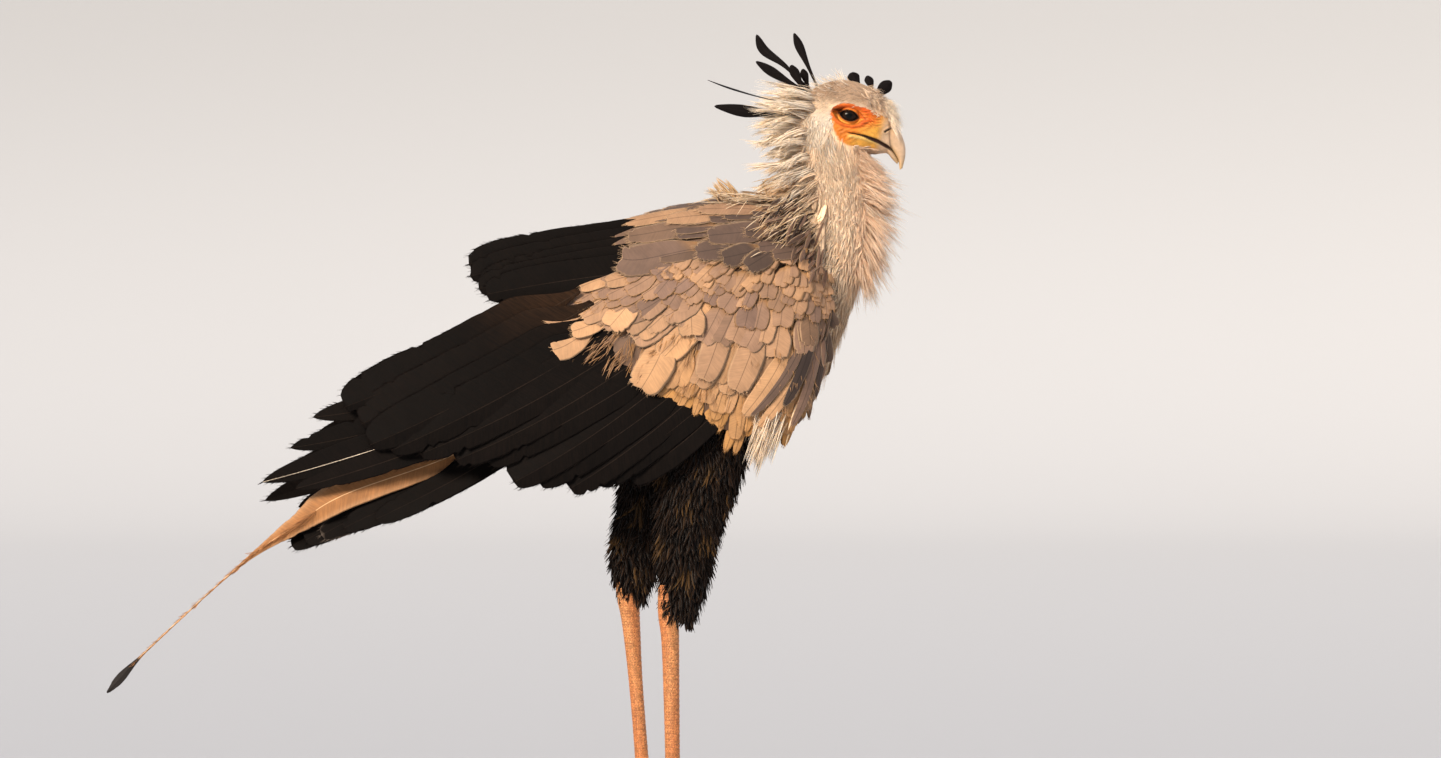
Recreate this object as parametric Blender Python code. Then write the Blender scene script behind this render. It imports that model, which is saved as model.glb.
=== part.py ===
"""A life-size standing secretary bird, as a still museum model, in closed solids.

Metres, +Z up. The bird looks along +X and its left side is +Y. The floor is z = 0, and the origin
is on the floor below the middle of the bird's whole length, bill to tail tip.
All measures below are in millimetres and are scaled by MM when a mesh is made.
"""

import math

import bmesh
import bpy
import numpy as np

MM = 0.001
GAP = 0.3  # clearance between neighbouring pieces

# ---- driving dimensions -------------------------------------------------------------------------
BODY_SIDES = 16  # corners of a cross-section through trunk, neck and head
BODY_STEPS = 2  # cross-sections between two stations of the body line
RIGHT, LEFT = -1.0, 1.0  # the bird's right side is -Y
SIDES = ((RIGHT, "right"), (LEFT, "left"))

EYE_AT = (427.0, 936.0)  # x and z of the eyes' centres
EYE_RADII = (11.5, 10.5, 9.5)
EYE_DEPTH = 25.0  # from the middle plane to an eye's centre

TOE_RADIUS = 8.0
TOE_LIFT = 7.2  # height of a toe's centreline, a little less than its radius, so that it lies flat
CLAW_LENGTH = 19.0
LEG_SPREAD = {RIGHT: 62.0, LEFT: 64.0}  # from the middle plane to each foot
FOOT_X = {RIGHT: 209.0, LEFT: 175.0}

PLUME_THICKNESS = 1.3
STREAMER_THICKNESS = 3.0
TAIL_THICKNESS = 5.0
SECONDARY_THICKNESS = (12.0, 4.0)  # at the feathers' roots and at their tips
PRIMARY_THICKNESS = (7.0, 3.0)
TERTIAL_THICKNESS = (10.0, 4.0)


# ---- scene, materials ---------------------------------------------------------------------------
def clear_scene():
    for old in list(bpy.data.objects):
        bpy.data.objects.remove(old)


def material(name, colour, roughness):
    made = bpy.data.materials.new(name)
    made.use_nodes = True
    shader = made.node_tree.nodes["Principled BSDF"]
    shader.inputs["Base Color"].default_value = (*colour, 1.0)
    shader.inputs["Roughness"].default_value = roughness
    shader.inputs["Metallic"].default_value = 0.0
    return made


def make_palette():
    return {
        "cream": material("cream_down", (0.72, 0.60, 0.46), 0.85),
        "grey": material("buff_grey_feather", (0.46, 0.39, 0.34), 0.75),
        "black": material("black_feather", (0.018, 0.015, 0.014), 0.55),
        "horn": material("pale_horn", (0.78, 0.68, 0.50), 0.35),
        "leg": material("pink_scaled_leg", (0.68, 0.33, 0.20), 0.6),
        "claw": material("dark_claw", (0.05, 0.04, 0.035), 0.4),
        "eye": material("dark_eye", (0.02, 0.012, 0.01), 0.08),
        "shaft": material("grey_brown_streamer", (0.42, 0.26, 0.14), 0.7),
    }


# ---- meshes -------------------------------------------------------------------------------------
def mesh_object(name, points, faces, paint, smooth=True):
    """An object from points in millimetres, with its faces turned outwards.

    Each quad is split along its first diagonal, so that a grown copy has the same facets.
    """
    mesh = bpy.data.meshes.new(name)
    build = bmesh.new()
    corners = [build.verts.new(np.asarray(p) * MM) for p in points]
    for face in faces:
        ring = [corners[i] for i in face]
        if len(ring) == 4:
            build.faces.new((ring[0], ring[1], ring[2]))
            build.faces.new((ring[0], ring[2], ring[3]))
        else:
            build.faces.new(ring)
    bmesh.ops.recalc_face_normals(build, faces=build.faces)
    if build.calc_volume(signed=True) < 0:
        bmesh.ops.reverse_faces(build, faces=build.faces)
    build.to_mesh(mesh)
    build.free()
    mesh.materials.append(paint)
    if smooth:
        mesh.shade_smooth()
        mesh.set_sharp_from_angle(angle=math.radians(40))
    made = bpy.data.objects.new(name, mesh)
    bpy.context.scene.collection.objects.link(made)
    return made


def tube_faces(rings, sides):
    """Side quads and two end caps of a tube with this many rings."""
    faces = [tuple(range(sides)), tuple(range((rings - 1) * sides, rings * sides))]
    for r in range(rings - 1):
        for k in range(sides):
            after = (k + 1) % sides
            low, high = r * sides, (r + 1) * sides
            faces.append((low + k, low + after, high + after, high + k))
    return faces


def through(values, count):
    """Catmull-Rom: rows at even steps through the given rows, count steps between two of them."""
    rows = np.asarray(values, float)
    padded = np.vstack([2 * rows[0] - rows[1], rows, 2 * rows[-1] - rows[-2]])
    made = []
    for i in range(len(rows) - 1):
        a, b, c, d = padded[i : i + 4]
        for t in np.arange(count) / count:
            made.append(
                0.5
                * (2 * b + (c - a) * t + (2 * a - 5 * b + 4 * c - d) * t**2 + (3 * b - a - 3 * c + d) * t**3)
            )
    made.append(rows[-1])
    return np.array(made)


def oval(top, bottom, half_width, y, sides, grow=0.0, fullness=2.3):
    """A superellipse standing on the line from bottom to top in the XZ plane, half_width to each side."""
    top, bottom = np.asarray(top, float), np.asarray(bottom, float)
    middle, half = (top + bottom) / 2, (top - bottom) / 2
    reach = np.linalg.norm(half)
    up = half / reach
    turn = 2 * math.pi * (np.arange(sides) + 0.5) / sides
    cos, sin = np.cos(turn), np.sin(turn)
    rise = np.sign(cos) * np.abs(cos) ** (2 / fullness) * (reach + grow)
    side = np.sign(sin) * np.abs(sin) ** (2 / fullness) * (half_width + grow)
    return np.stack([middle[0] + rise * up[0], y + side, middle[1] + rise * up[1]], axis=1)


def line_of_ovals(stations, steps, sides, grow=0.0):
    """Rings through stations given as (x_top, z_top, x_bottom, z_bottom, half_width, y)."""
    return [oval(s[0:2], s[2:4], s[4], s[5], sides, grow) for s in through(stations, steps)]


def plane_normal(ring):
    a, b, c = ring[0], ring[len(ring) // 3], ring[2 * len(ring) // 3]
    normal = np.cross(b - a, c - a)
    return normal / np.linalg.norm(normal)


def from_rings(name, rings, paint, part_start=False, part_end=False):
    """A closed tube. A parted end is drawn back by half the clearance, square to its ring."""
    rings = [np.array(r) for r in rings]
    for here, inward, parted in ((0, 1, part_start), (-1, -2, part_end)):
        if parted:
            normal = plane_normal(rings[here])
            towards = rings[inward].mean(0) - rings[here].mean(0)
            rings[here] = rings[here] + normal * np.sign(normal @ towards) * GAP / 2
    return mesh_object(name, np.vstack(rings), tube_faces(len(rings), len(rings[0])), paint)


def pipe(name, centres, radii, paint, sides=8, floor=False, grow=0.0, flatten=1.0):
    """A round tube along 3D centres. On the floor its ends stand upright and its underside is flat."""
    centres = np.asarray(centres, float)
    along = np.gradient(centres, axis=0)
    if floor:
        along[[0, -1], 2] = 0.0
    along /= np.linalg.norm(along, axis=1)[:, None]
    rings = []
    for centre, direction, radius in zip(centres, along, radii):
        across = np.cross(direction, (0, 0, 1.0))
        if np.linalg.norm(across) < 0.2:
            across = np.array((0, 1.0, 0))
        across /= np.linalg.norm(across)
        up = np.cross(across, direction)
        turn = 2 * math.pi * (np.arange(sides) + 0.5) / sides
        reach = radius + grow
        ring = (
            centre
            + np.outer(np.cos(turn) * reach, across)
            + np.outer(np.sin(turn) * reach * flatten, up)
        )
        if floor:
            ring[:, 2] = np.maximum(ring[:, 2], -grow)
        rings.append(ring)
    return mesh_object(name, np.vstack(rings), tube_faces(len(rings), sides), paint)


def slab(name, middle, thickness, paint, grow=0.0):
    """A closed sheet: a grid of points, thickened to both sides along its own normals.

    middle has the shape (rows, columns, 3), and thickness is one number or a grid of them.
    """
    du = np.gradient(middle, axis=0)
    dv = np.gradient(middle, axis=1)
    normal = np.cross(du, dv)
    normal /= np.maximum(np.linalg.norm(normal, axis=2, keepdims=True), 1e-9)
    half = np.broadcast_to(np.asarray(thickness, float) / 2 + grow, middle.shape[:2])[..., None]
    # A grown sheet reaches further at its four edges too
    middle = middle.copy()
    whole = slice(None)
    borders = ((0,), (1,)), ((-1,), (-2,)), ((whole, 0), (whole, 1)), ((whole, -1), (whole, -2))
    for edge, inward in borders:
        out = middle[edge] - middle[inward]
        middle[edge] += out / np.linalg.norm(out, axis=1)[:, None] * grow
    rows, columns = middle.shape[:2]
    points = np.vstack([(middle + normal * half).reshape(-1, 3), (middle - normal * half).reshape(-1, 3)])
    under = rows * columns

    def at(r, c, side):
        return side * under + r * columns + c

    faces = []
    for r in range(rows - 1):
        for c in range(columns - 1):
            for side in (0, 1):
                faces.append((at(r, c, side), at(r + 1, c, side), at(r + 1, c + 1, side), at(r, c + 1, side)))
    edge = [(0, c) for c in range(columns)]
    edge += [(r, columns - 1) for r in range(1, rows)]
    edge += [(rows - 1, c) for c in range(columns - 2, -1, -1)]
    edge += [(r, 0) for r in range(rows - 2, 0, -1)]
    for (r0, c0), (r1, c1) in zip(edge, edge[1:] + edge[:1]):
        faces.append((at(r0, c0, 0), at(r1, c1, 0), at(r1, c1, 1), at(r0, c0, 1)))
    return mesh_object(name, points, faces, paint, smooth=False)


def carve(target, *cutters):
    """Cuts each cutter out of target. A cutter is kept in the scene as a hidden wire shape."""
    for cutter in cutters:
        cutter.hide_render = True
        cutter.display_type = "WIRE"
        cut = target.modifiers.new(cutter.name, "BOOLEAN")
        cut.operation = "DIFFERENCE"
        cut.solver = "EXACT"
        cut.object = cutter


# ---- trunk, neck and head: one body line, parted by thin cuts ------------------------------------
# (x_top, z_top, x_bottom, z_bottom, half_width, y), from the tail root forwards to the bill
TRUNK_LINE = [
    (51, 650, 61, 588, 26, 0),
    (85, 700, 114, 545, 54, 0),
    (141, 758, 185, 511, 80, 0),
    (210, 792, 260, 511, 92, 0),
    (279, 816, 326, 531, 92, 0),
    (331, 832, 374, 562, 84, 0),
    (355, 842, 412, 632, 68, 0),
]
NECK_LINE = [
    (356, 850, 444, 704, 57, 0),
    (352, 864, 466, 754, 49, 0),
    (346, 880, 475, 800, 45, 0),
    (341, 902, 474, 838, 43, 0),
    (342, 926, 461, 869, 42, 0),
]
HEAD_LINE = [
    (354, 952, 451, 885, 40, 0),
    (381, 972, 452, 886, 36, 0),
    (414, 982, 457, 887, 31.5, 0),
    (444, 977, 464, 887, 26.5, 0),
    (469, 961, 476, 888, 17, 0),
]
# Bill: a hooked upper half and a shorter lower half, both starting at the front of the head
UPPER_BILL = [
    (471.6, 945, 474.6, 904, 13, 0),
    (482, 931, 480, 896.5, 11, 0),
    (491, 918, 485, 889.5, 9, 0),
    (497, 901, 489.5, 882, 6.5, 0),
    (497, 886, 491, 877, 4, 0),
    (493, 871, 491, 869.5, 1.2, 0),
]
LOWER_BILL = [
    (475.6, 901, 477, 889.5, 11, 0),
    (479.5, 893, 480, 884.5, 8.5, 0),
    (485.5, 884.5, 484, 880, 5, 0),
    (489.5, 878.5, 488.5, 876.6, 1.5, 0),
]


def eye_ball(name, side, paint, grow=0.0):
    """An ellipsoid as deep in the head as the real eye."""
    sides, rows = 10, 5
    rings = []
    for tilt in np.linspace(-0.5 * math.pi, 0.5 * math.pi, rows + 2)[1:-1]:
        turn = 2 * math.pi * np.arange(sides) / sides
        rings.append(
            np.stack(
                [
                    EYE_AT[0] + (EYE_RADII[0] + grow) * math.cos(tilt) * np.cos(turn),
                    np.full(sides, side * EYE_DEPTH + (EYE_RADII[1] + grow) * math.sin(tilt)),
                    EYE_AT[1] + (EYE_RADII[2] + grow) * math.cos(tilt) * np.sin(turn),
                ],
                axis=1,
            )
        )
    return mesh_object(name, np.vstack(rings), tube_faces(len(rings), sides), paint)


def make_body(paint):
    """Trunk, neck and head from one line, so that each meets the next on a common section."""
    line = TRUNK_LINE + NECK_LINE + HEAD_LINE
    rings = line_of_ovals(line, BODY_STEPS, BODY_SIDES)
    trunk_end = len(TRUNK_LINE) * BODY_STEPS
    neck_end = (len(TRUNK_LINE) + len(NECK_LINE)) * BODY_STEPS
    from_rings("trunk", rings[: trunk_end + 1], paint["grey"], part_end=True)
    from_rings("neck", rings[trunk_end : neck_end + 1], paint["cream"], part_start=True, part_end=True)
    head = from_rings("head", rings[neck_end:], paint["cream"], part_start=True)
    for side, word in SIDES:
        eye_ball("eye_" + word, side, paint["eye"])
        carve(head, eye_ball("eye_socket_" + word, side, paint["eye"], grow=GAP))
    from_rings("bill_upper", line_of_ovals(UPPER_BILL, 2, 10), paint["horn"])
    from_rings("bill_lower", line_of_ovals(LOWER_BILL, 2, 10), paint["horn"])
    return line


def body_cutter(name, line, paint):
    """The whole body line, one clearance larger, for what lies against it."""
    return from_rings(name, line_of_ovals(line, BODY_STEPS, BODY_SIDES, grow=GAP), paint["grey"])


# ---- crest plumes -------------------------------------------------------------------------------
# name, centreline as (x, y, z) from root to tip, width at the broadest, whether it lies edge-on
CREST = [
    ("crest_1", [(364, -16, 950), (322, -21, 958), (284, -26, 969), (251, -30, 980)], 11, True),
    ("crest_2", [(366, -24, 938), (329, -33, 939), (298, -40, 941), (259, -46, 947)], 15, False),
    ("crest_3", [(381, 6, 966), (348, 12, 999), (322, 16, 1019), (312, 20, 1039)], 11, False),
    ("crest_4", [(376, -6, 965), (343, -9, 984), (311, -12, 1004)], 11, False),
    ("crest_5", [(388, 9, 973), (371, 16, 1012), (359, 22, 1041)], 11, False),
    ("crest_6", [(374, 0, 962), (364, 1, 982), (355, 2, 1000)], 11, False),
    ("crest_7", [(379, 14, 966), (374, 18, 982), (370, 21, 996)], 9, False),
    ("crest_8", [(444, 20, 968), (437, 30, 980), (431, 38, 992)], 13, False),
    ("crest_9", [(458, 17, 962), (455, 26, 976), (451, 34, 988)], 9, False),
    ("crest_10", [(462, 12, 954), (468, 24, 967), (481, 34, 981)], 14, False),
]
PLUME_STATIONS = 6


def plume(name, line, width, edge_on, paint):
    """A spatulate quill: narrow at the root, broadest near its end, with a lens section."""
    line = np.asarray(line, float)
    share = np.linspace(0, 1, PLUME_STATIONS)
    centres = through(line, 6)
    centres = centres[np.round(share * (len(centres) - 1)).astype(int)]
    along = np.gradient(centres, axis=0)
    along /= np.linalg.norm(along, axis=1)[:, None]
    facing = np.array((0.0, 1.0, 0.0))
    if edge_on:
        facing = np.array((-0.2, 0.1, 1.0))
    across = np.cross(along, facing)
    across /= np.linalg.norm(across, axis=1)[:, None]
    through_it = np.cross(across, along)
    # Width: a thin quill that swells to the blade at 70 % of the length and closes at the tip
    blade = 0.16 + 0.84 * np.exp(-(((share - 0.68) / 0.26) ** 2))
    half = width / 2 * blade * np.where(share > 0.94, 0.45, 1.0)
    rings = []
    for centre, side, out, reach in zip(centres, across, through_it, half):
        thick = PLUME_THICKNESS / 2
        wide, high = side * reach, out * thick
        rings.append([centre + wide, centre + high, centre - wide, centre - high])
    return mesh_object(name, np.vstack(rings), tube_faces(len(rings), 4), paint["black"], smooth=False)


# ---- feather fans of wing and tail --------------------------------------------------------------
def fan_grid(roots, tips, feathers, notch, bow, side=1.0, rows=4):
    """The middle surface of a fan of feathers.

    Roots and tips are (x, y, z) along the fan's two edges. Each feather ends in a round tip, and
    notch is how far the edge runs back between two tips. bow lifts the middle of each feather.
    """
    across = []
    for feather in range(feathers):
        across += [feather, feather + 0.28, feather + 0.72]
    across = np.array(across + [feathers]) / feathers
    roots, tips = through(roots, 8), through(tips, 8)
    edge = np.linspace(0, 1, len(roots))
    root = np.stack([np.interp(across, edge, roots[:, k]) for k in range(3)], axis=1)
    edge = np.linspace(0, 1, len(tips))
    tip = np.stack([np.interp(across, edge, tips[:, k]) for k in range(3)], axis=1)
    reach = tip - root
    length = np.linalg.norm(reach, axis=1)
    back = np.where(np.arange(len(across)) % 3 == 0, notch, 0.0)
    reach = reach * (1 - back / length)[:, None]
    share = np.linspace(0, 1, rows)[:, None, None]
    grid = root + reach * share
    grid[..., 2] += bow * np.sin(math.pi * share[..., 0])
    grid[..., 1] *= side
    return grid


def even_thickness(grid, root, tip):
    """Thickness that falls from the feathers' roots to their tips."""
    return np.linspace(root, tip, grid.shape[0])[:, None]


# Edges of each fan on the right wing, as (x, distance from the middle plane, z)
COVERT_TOP = [
    (401, 60, 722),
    (366, 80, 744),
    (304, 86, 752),
    (241, 86, 752),
    (179, 78, 742),
    (116, 66, 728),
    (62, 52, 704),
]
COVERT_MID = [
    (397, 76, 655),
    (362, 103, 642),
    (295, 113, 645),
    (235, 114, 660),
    (172, 108, 668),
    (108, 96, 672),
    (54, 80, 678),
]
COVERT_LOW = [
    (390, 62, 588),
    (352, 92, 540),
    (285, 106, 536),
    (229, 110, 566),
    (166, 108, 591),
    (100, 100, 614),
    (48, 86, 652),
]
COVERT_THICKNESS = (24, 24, 23, 20, 17, 14, 8)

SECONDARY_ROOTS = [(286, 97, 580), (241, 101, 604), (185, 99, 633), (135, 88, 680), (85, 66, 724)]
SECONDARY_TIPS = [(172, 97, 492), (66, 84, 464), (-46, 66, 482), (-160, 44, 510), (-215, 20, 581)]
PRIMARY_ROOTS = [(40, 38, 640), (30, 46, 610), (22, 50, 585), (14, 52, 560)]
PRIMARY_TIPS = [(-232, 15, 572), (-266, 22, 530), (-298, 28, 474), (-240, 34, 470)]
PRIMARY_DROP = {RIGHT: 0.0, LEFT: 24.0}  # the left hand hangs a little lower
TERTIAL_ROOTS = [(228, 12, 792), (226, 34, 784), (222, 54, 770), (218, 68, 752)]
TERTIAL_TIPS = [(0, 8, 780), (-49, 18, 752), (-50, 32, 728), (0, 46, 700)]
SCAPULAR_TOP = [(352, 14, 835), (291, 14, 833), (229, 14, 826), (166, 13, 812), (131, 14, 798)]
SCAPULAR_MID = [(352, 52, 812), (291, 54, 812), (229, 54, 804), (166, 46, 790), (128, 36, 780)]
SCAPULAR_LOW = [(350, 80, 764), (291, 86, 758), (229, 84, 756), (166, 74, 748), (134, 60, 756)]
SCAPULAR_THICKNESS = (8, 14, 15, 12, 5)
COVER_ROWS = 5
# How many feathers each fan shows, how far its edge runs back between two tips, and how high it bows
SECONDARY_FAN = (9, 14, 13)
PRIMARY_FAN = (4, 34, 4)
TERTIAL_FAN = (5, 13, 10)


def cover_grid(top, middle, low, side, rows=COVER_ROWS):
    """A curved cover: for each place along it, a parabola through its top, middle and low edge."""
    steps = 2
    top, middle, low = through(top, steps), through(middle, steps), through(low, steps)
    share = np.linspace(0, 1, rows)[:, None, None]
    grid = (
        top * (1 - share) * (1 - 2 * share) + middle * 4 * share * (1 - share) + low * share * (2 * share - 1)
    )
    grid[..., 1] *= side
    return grid


def cover_thickness(values, rows=COVER_ROWS):
    """Even across, but thinner at both long edges."""
    along = through(np.array(values, float)[:, None], 2)[:, 0]
    return np.sin(np.linspace(0.28, math.pi - 0.28, rows))[:, None] ** 0.6 * along[None, :]


def wing_sheets(side, paint):
    """The five feather groups of one wing, each as its middle surface, thickness and colour."""
    coverts = cover_grid(COVERT_TOP, COVERT_MID, COVERT_LOW, side)
    secondaries = fan_grid(SECONDARY_ROOTS, SECONDARY_TIPS, *SECONDARY_FAN, side)
    primaries = fan_grid(PRIMARY_ROOTS, PRIMARY_TIPS, *PRIMARY_FAN, side)
    primaries[..., 2] -= PRIMARY_DROP[side]
    tertials = fan_grid(TERTIAL_ROOTS, TERTIAL_TIPS, *TERTIAL_FAN, side)
    scapulars = cover_grid(SCAPULAR_TOP, SCAPULAR_MID, SCAPULAR_LOW, side)
    return {
        "coverts": (coverts, cover_thickness(COVERT_THICKNESS), paint["grey"]),
        "secondaries": (secondaries, even_thickness(secondaries, *SECONDARY_THICKNESS), paint["black"]),
        "primaries": (primaries, even_thickness(primaries, *PRIMARY_THICKNESS), paint["black"]),
        "tertials": (tertials, even_thickness(tertials, *TERTIAL_THICKNESS), paint["black"]),
        "scapulars": (scapulars, cover_thickness(SCAPULAR_THICKNESS), paint["grey"]),
    }


# ---- tail ---------------------------------------------------------------------------------------
TAIL_LINE = [(92, 600), (-59, 514), (-200, 449), (-276, 409)]  # x and z along the top of the tail
TAIL_HALF_WIDTH = 46.0
TAIL_DROP = 20.0  # how far the outermost feathers hang below the middle ones
TAIL_UNDER = 17.0  # how far the fan lies under the line of the two long feathers
TAIL_SHORTENING = 0.48  # share of the length that the outermost feathers lack
TAIL_NOTCH = 0.035  # share of the length that the edge runs back between two feathers
STREAMER_LINE = [(58, 587), (-59, 512), (-200, 452), (-259, 424), (-334, 374), (-452, 266), (-499, 216)]
STREAMER_WIDTH = [12, 22, 30, 23, 7, 5, 4]
STREAMER_ROOT_APART = 4.0  # each streamer's distance from the middle plane at its root
STREAMER_APART = 7.5  # and at its tip
PADDLE_EXTRA, PADDLE_FROM_TIP, PADDLE_SPAN = 11.0, 24.0, 22.0  # the wider flag near the tip


def tail_grid(rows=4, feathers=8):
    """A folded, graduated tail like a low roof: outer feathers are shorter and hang lower."""
    across = []
    for feather in range(feathers):
        across += [feather, feather + 0.3, feather + 0.7]
    across = np.array(across + [feathers]) / feathers * 2 - 1
    reach = 1 - TAIL_SHORTENING * np.abs(across) ** 1.15
    reach -= np.where(np.arange(len(across)) % 3 == 0, TAIL_NOTCH, 0.0)
    share = np.linspace(0.0, 1, rows)[:, None]
    along = share * reach
    line = through(TAIL_LINE, 4)
    steps = np.linspace(0, 1, len(line))
    x, z = np.interp(along, steps, line[:, 0]), np.interp(along, steps, line[:, 1])
    y = TAIL_HALF_WIDTH * across * (0.45 + 0.55 * share)
    drop = TAIL_DROP * across**2 * (0.3 + 0.7 * share) + TAIL_UNDER
    return np.stack(np.broadcast_arrays(x, y, z - drop), axis=2)


def streamer(name, side, paint, grow=0.0):
    """One of the two long middle tail feathers: a vane, a bare shaft and a black paddle."""
    count = 3
    line = through([(x, z, w) for (x, z), w in zip(STREAMER_LINE, STREAMER_WIDTH)], count)
    x, z, width = line[:, 0], line[:, 1], line[:, 2].copy()
    from_tip = np.hypot(x - x[-1], z - z[-1])
    paddle = PADDLE_EXTRA * np.exp(-(((from_tip - PADDLE_FROM_TIP) / PADDLE_SPAN) ** 2))
    width = np.maximum(width, 3.5) + paddle
    width[-1] = 4.0
    run = np.linspace(0, 1, len(x))
    y = side * (STREAMER_ROOT_APART + (STREAMER_APART - STREAMER_ROOT_APART) * run)
    along = np.stack([np.gradient(x), np.gradient(z)], axis=1)
    along /= np.linalg.norm(along, axis=1)[:, None]
    rings = []
    for k in range(len(x)):
        up = np.array((-along[k, 1], 0, along[k, 0]))
        centre = np.array((x[k], y[k], z[k]))
        half, thick = width[k] / 2 + grow, STREAMER_THICKNESS / 2 + grow
        out = np.array((0, thick, 0))
        rings.append([centre + up * half, centre + out, centre - up * half, centre - out])
    return mesh_object(name, np.vstack(rings), tube_faces(len(rings), 4), paint["shaft"], smooth=False)


# ---- legs ---------------------------------------------------------------------------------------
# Feathered thigh, from the hip down: (x_front, z_front, x_rear, z_rear, half_width, y)
THIGH = {
    RIGHT: [
        (306, 560, 196, 548, 38, -52),
        (300, 498, 186, 492, 38, -54),
        (281, 446, 184, 440, 36, -56),
        (264, 396, 184, 392, 33, -58),
        (255, 350, 188, 356, 28, -60),
        (241, 312, 191, 328, 20, -62),
    ],
    LEFT: [
        (262, 560, 150, 548, 38, 52),
        (240, 498, 138, 492, 38, 54),
        (222, 446, 132, 440, 35, 56),
        (204, 396, 124, 392, 32, 59),
        (190, 362, 126, 366, 27, 61),
        (180, 338, 134, 346, 19, 63),
    ],
}
THIGH_SIDES = 12
# Bare leg, from inside the thigh down to the foot: (x, z, radius)
SHANK = {
    RIGHT: [
        (202, 352, 12.5),
        (202, 318, 13),
        (204.5, 284, 11.3),
        (206, 220, 10.2),
        (207.5, 130, 9.4),
        (208.5, 50, 10.2),
        (209, 22, 12),
    ],
    LEFT: [
        (149, 372, 14),
        (150.5, 338, 14.6),
        (154.5, 300, 11.6),
        (160.5, 225, 8.9),
        (168, 130, 8.7),
        (173, 50, 10),
        (175, 22, 12),
    ],
}
# Toes: name, heading away from straight ahead (outwards positive), length, radius share
TOES = [
    ("middle", 2.0, 70.0, 1.0),
    ("inner", -32.0, 50.0, 0.94),
    ("outer", 37.0, 50.0, 0.92),
    ("hind", 176.0, 30.0, 0.85),
]
KNUCKLE = 10.0  # how far out from the middle of the foot the toes are measured from
FOOT_AHEAD = 2.0  # how far the middle of the foot lies in front of the shank's end
# Claw, from the toe's end to its tip: share of its length, height and radius
CLAW_LINE = [(0.02, 5.6, 4.4), (0.4, 5.2, 3.5), (0.75, 3.4, 2.2), (1.0, 1.0, 0.7)]


def foot_pad(name, side, paint, grow=0.0):
    """The knuckle where the toes meet, an egg pressed flat on the floor."""
    x, y = FOOT_X[side], side * LEG_SPREAD[side]
    heights = [24.0, 20.0, 13.0, 6.0, 0.0]
    reaches = [9.5, 14.5, 17.0, 16.0, 12.0]
    turn = 2 * math.pi * np.arange(10) / 10
    rings = []
    for height, reach in zip(heights, reaches):
        lift = height + (grow if height > 0 else -grow)
        ring = np.stack(
            [
                x + FOOT_AHEAD + (reach + grow) * np.cos(turn),
                y + (reach + grow) * 0.92 * np.sin(turn),
                np.full(10, lift),
            ],
            axis=1,
        )
        rings.append(ring)
    return mesh_object(name, np.vstack(rings), tube_faces(len(rings), 10), paint["leg"])


def make_leg(side, word, paint, cutters):
    """Thigh, shank, foot pad, four toes and four claws of one leg."""
    thigh = from_rings("thigh_" + word, line_of_ovals(THIGH[side], 2, THIGH_SIDES), paint["black"])
    carve(thigh, *cutters)
    thigh_cutter = from_rings(
        "thigh_cutter_" + word, line_of_ovals(THIGH[side], 2, THIGH_SIDES, grow=GAP), paint["black"]
    )
    thigh_end = THIGH[side][-1]
    foot_pad("foot_" + word, side, paint)
    pad_cutter = foot_pad("foot_cutter_" + word, side, paint, grow=GAP)
    y_top, y_low = thigh_end[5], side * LEG_SPREAD[side]
    shank_line = through(SHANK[side], 1)
    down = np.linspace(0, 1, len(shank_line))
    centres = np.stack([shank_line[:, 0], y_top + (y_low - y_top) * down, shank_line[:, 1]], axis=1)
    shank = pipe("shank_" + word, centres, shank_line[:, 2], paint["leg"], sides=10)
    # The thigh's open end stops short of the shank's knee, so the cutter is lengthened by the clearance.
    thigh_cutter.location.z = -GAP * MM
    carve(shank, thigh_cutter, pad_cutter)
    neighbours = [pad_cutter]
    for toe, heading, length, share in TOES:
        turn = math.radians(heading) * side
        ahead = np.array((math.cos(turn), math.sin(turn), 0.0))
        start = np.array((FOOT_X[side] + FOOT_AHEAD, side * LEG_SPREAD[side], 0.0))
        radius = TOE_RADIUS * share
        runs = np.array([6.0, length * 0.4, length * 0.62, length * 0.8, length])
        radii = radius * np.array([1.1, 0.98, 0.9, 0.98, 0.72])
        lifts = TOE_LIFT * share * np.array([1.25, 1.04, 0.96, 0.99, 0.76])
        path = start + np.outer(runs + KNUCKLE, ahead)
        path[:, 2] = lifts
        bone = pipe(f"toe_{toe}_{word}", path, radii, paint["leg"], floor=True)
        carve(bone, *neighbours)
        if toe == "middle":
            neighbours.append(pipe("toe_cutter_" + word, path, radii, paint["leg"], floor=True, grow=GAP))
        # Claw: a hook that leaves the toe level and comes down to the floor at its tip
        along, heights, thickness = np.array(CLAW_LINE).T
        claw_path = start + np.outer(runs[-1] + KNUCKLE + along * CLAW_LENGTH, ahead)
        claw_path[:, 2] = heights * share
        pipe(f"claw_{toe}_{word}", claw_path, thickness * share, paint["claw"], sides=6, floor=True)


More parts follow.
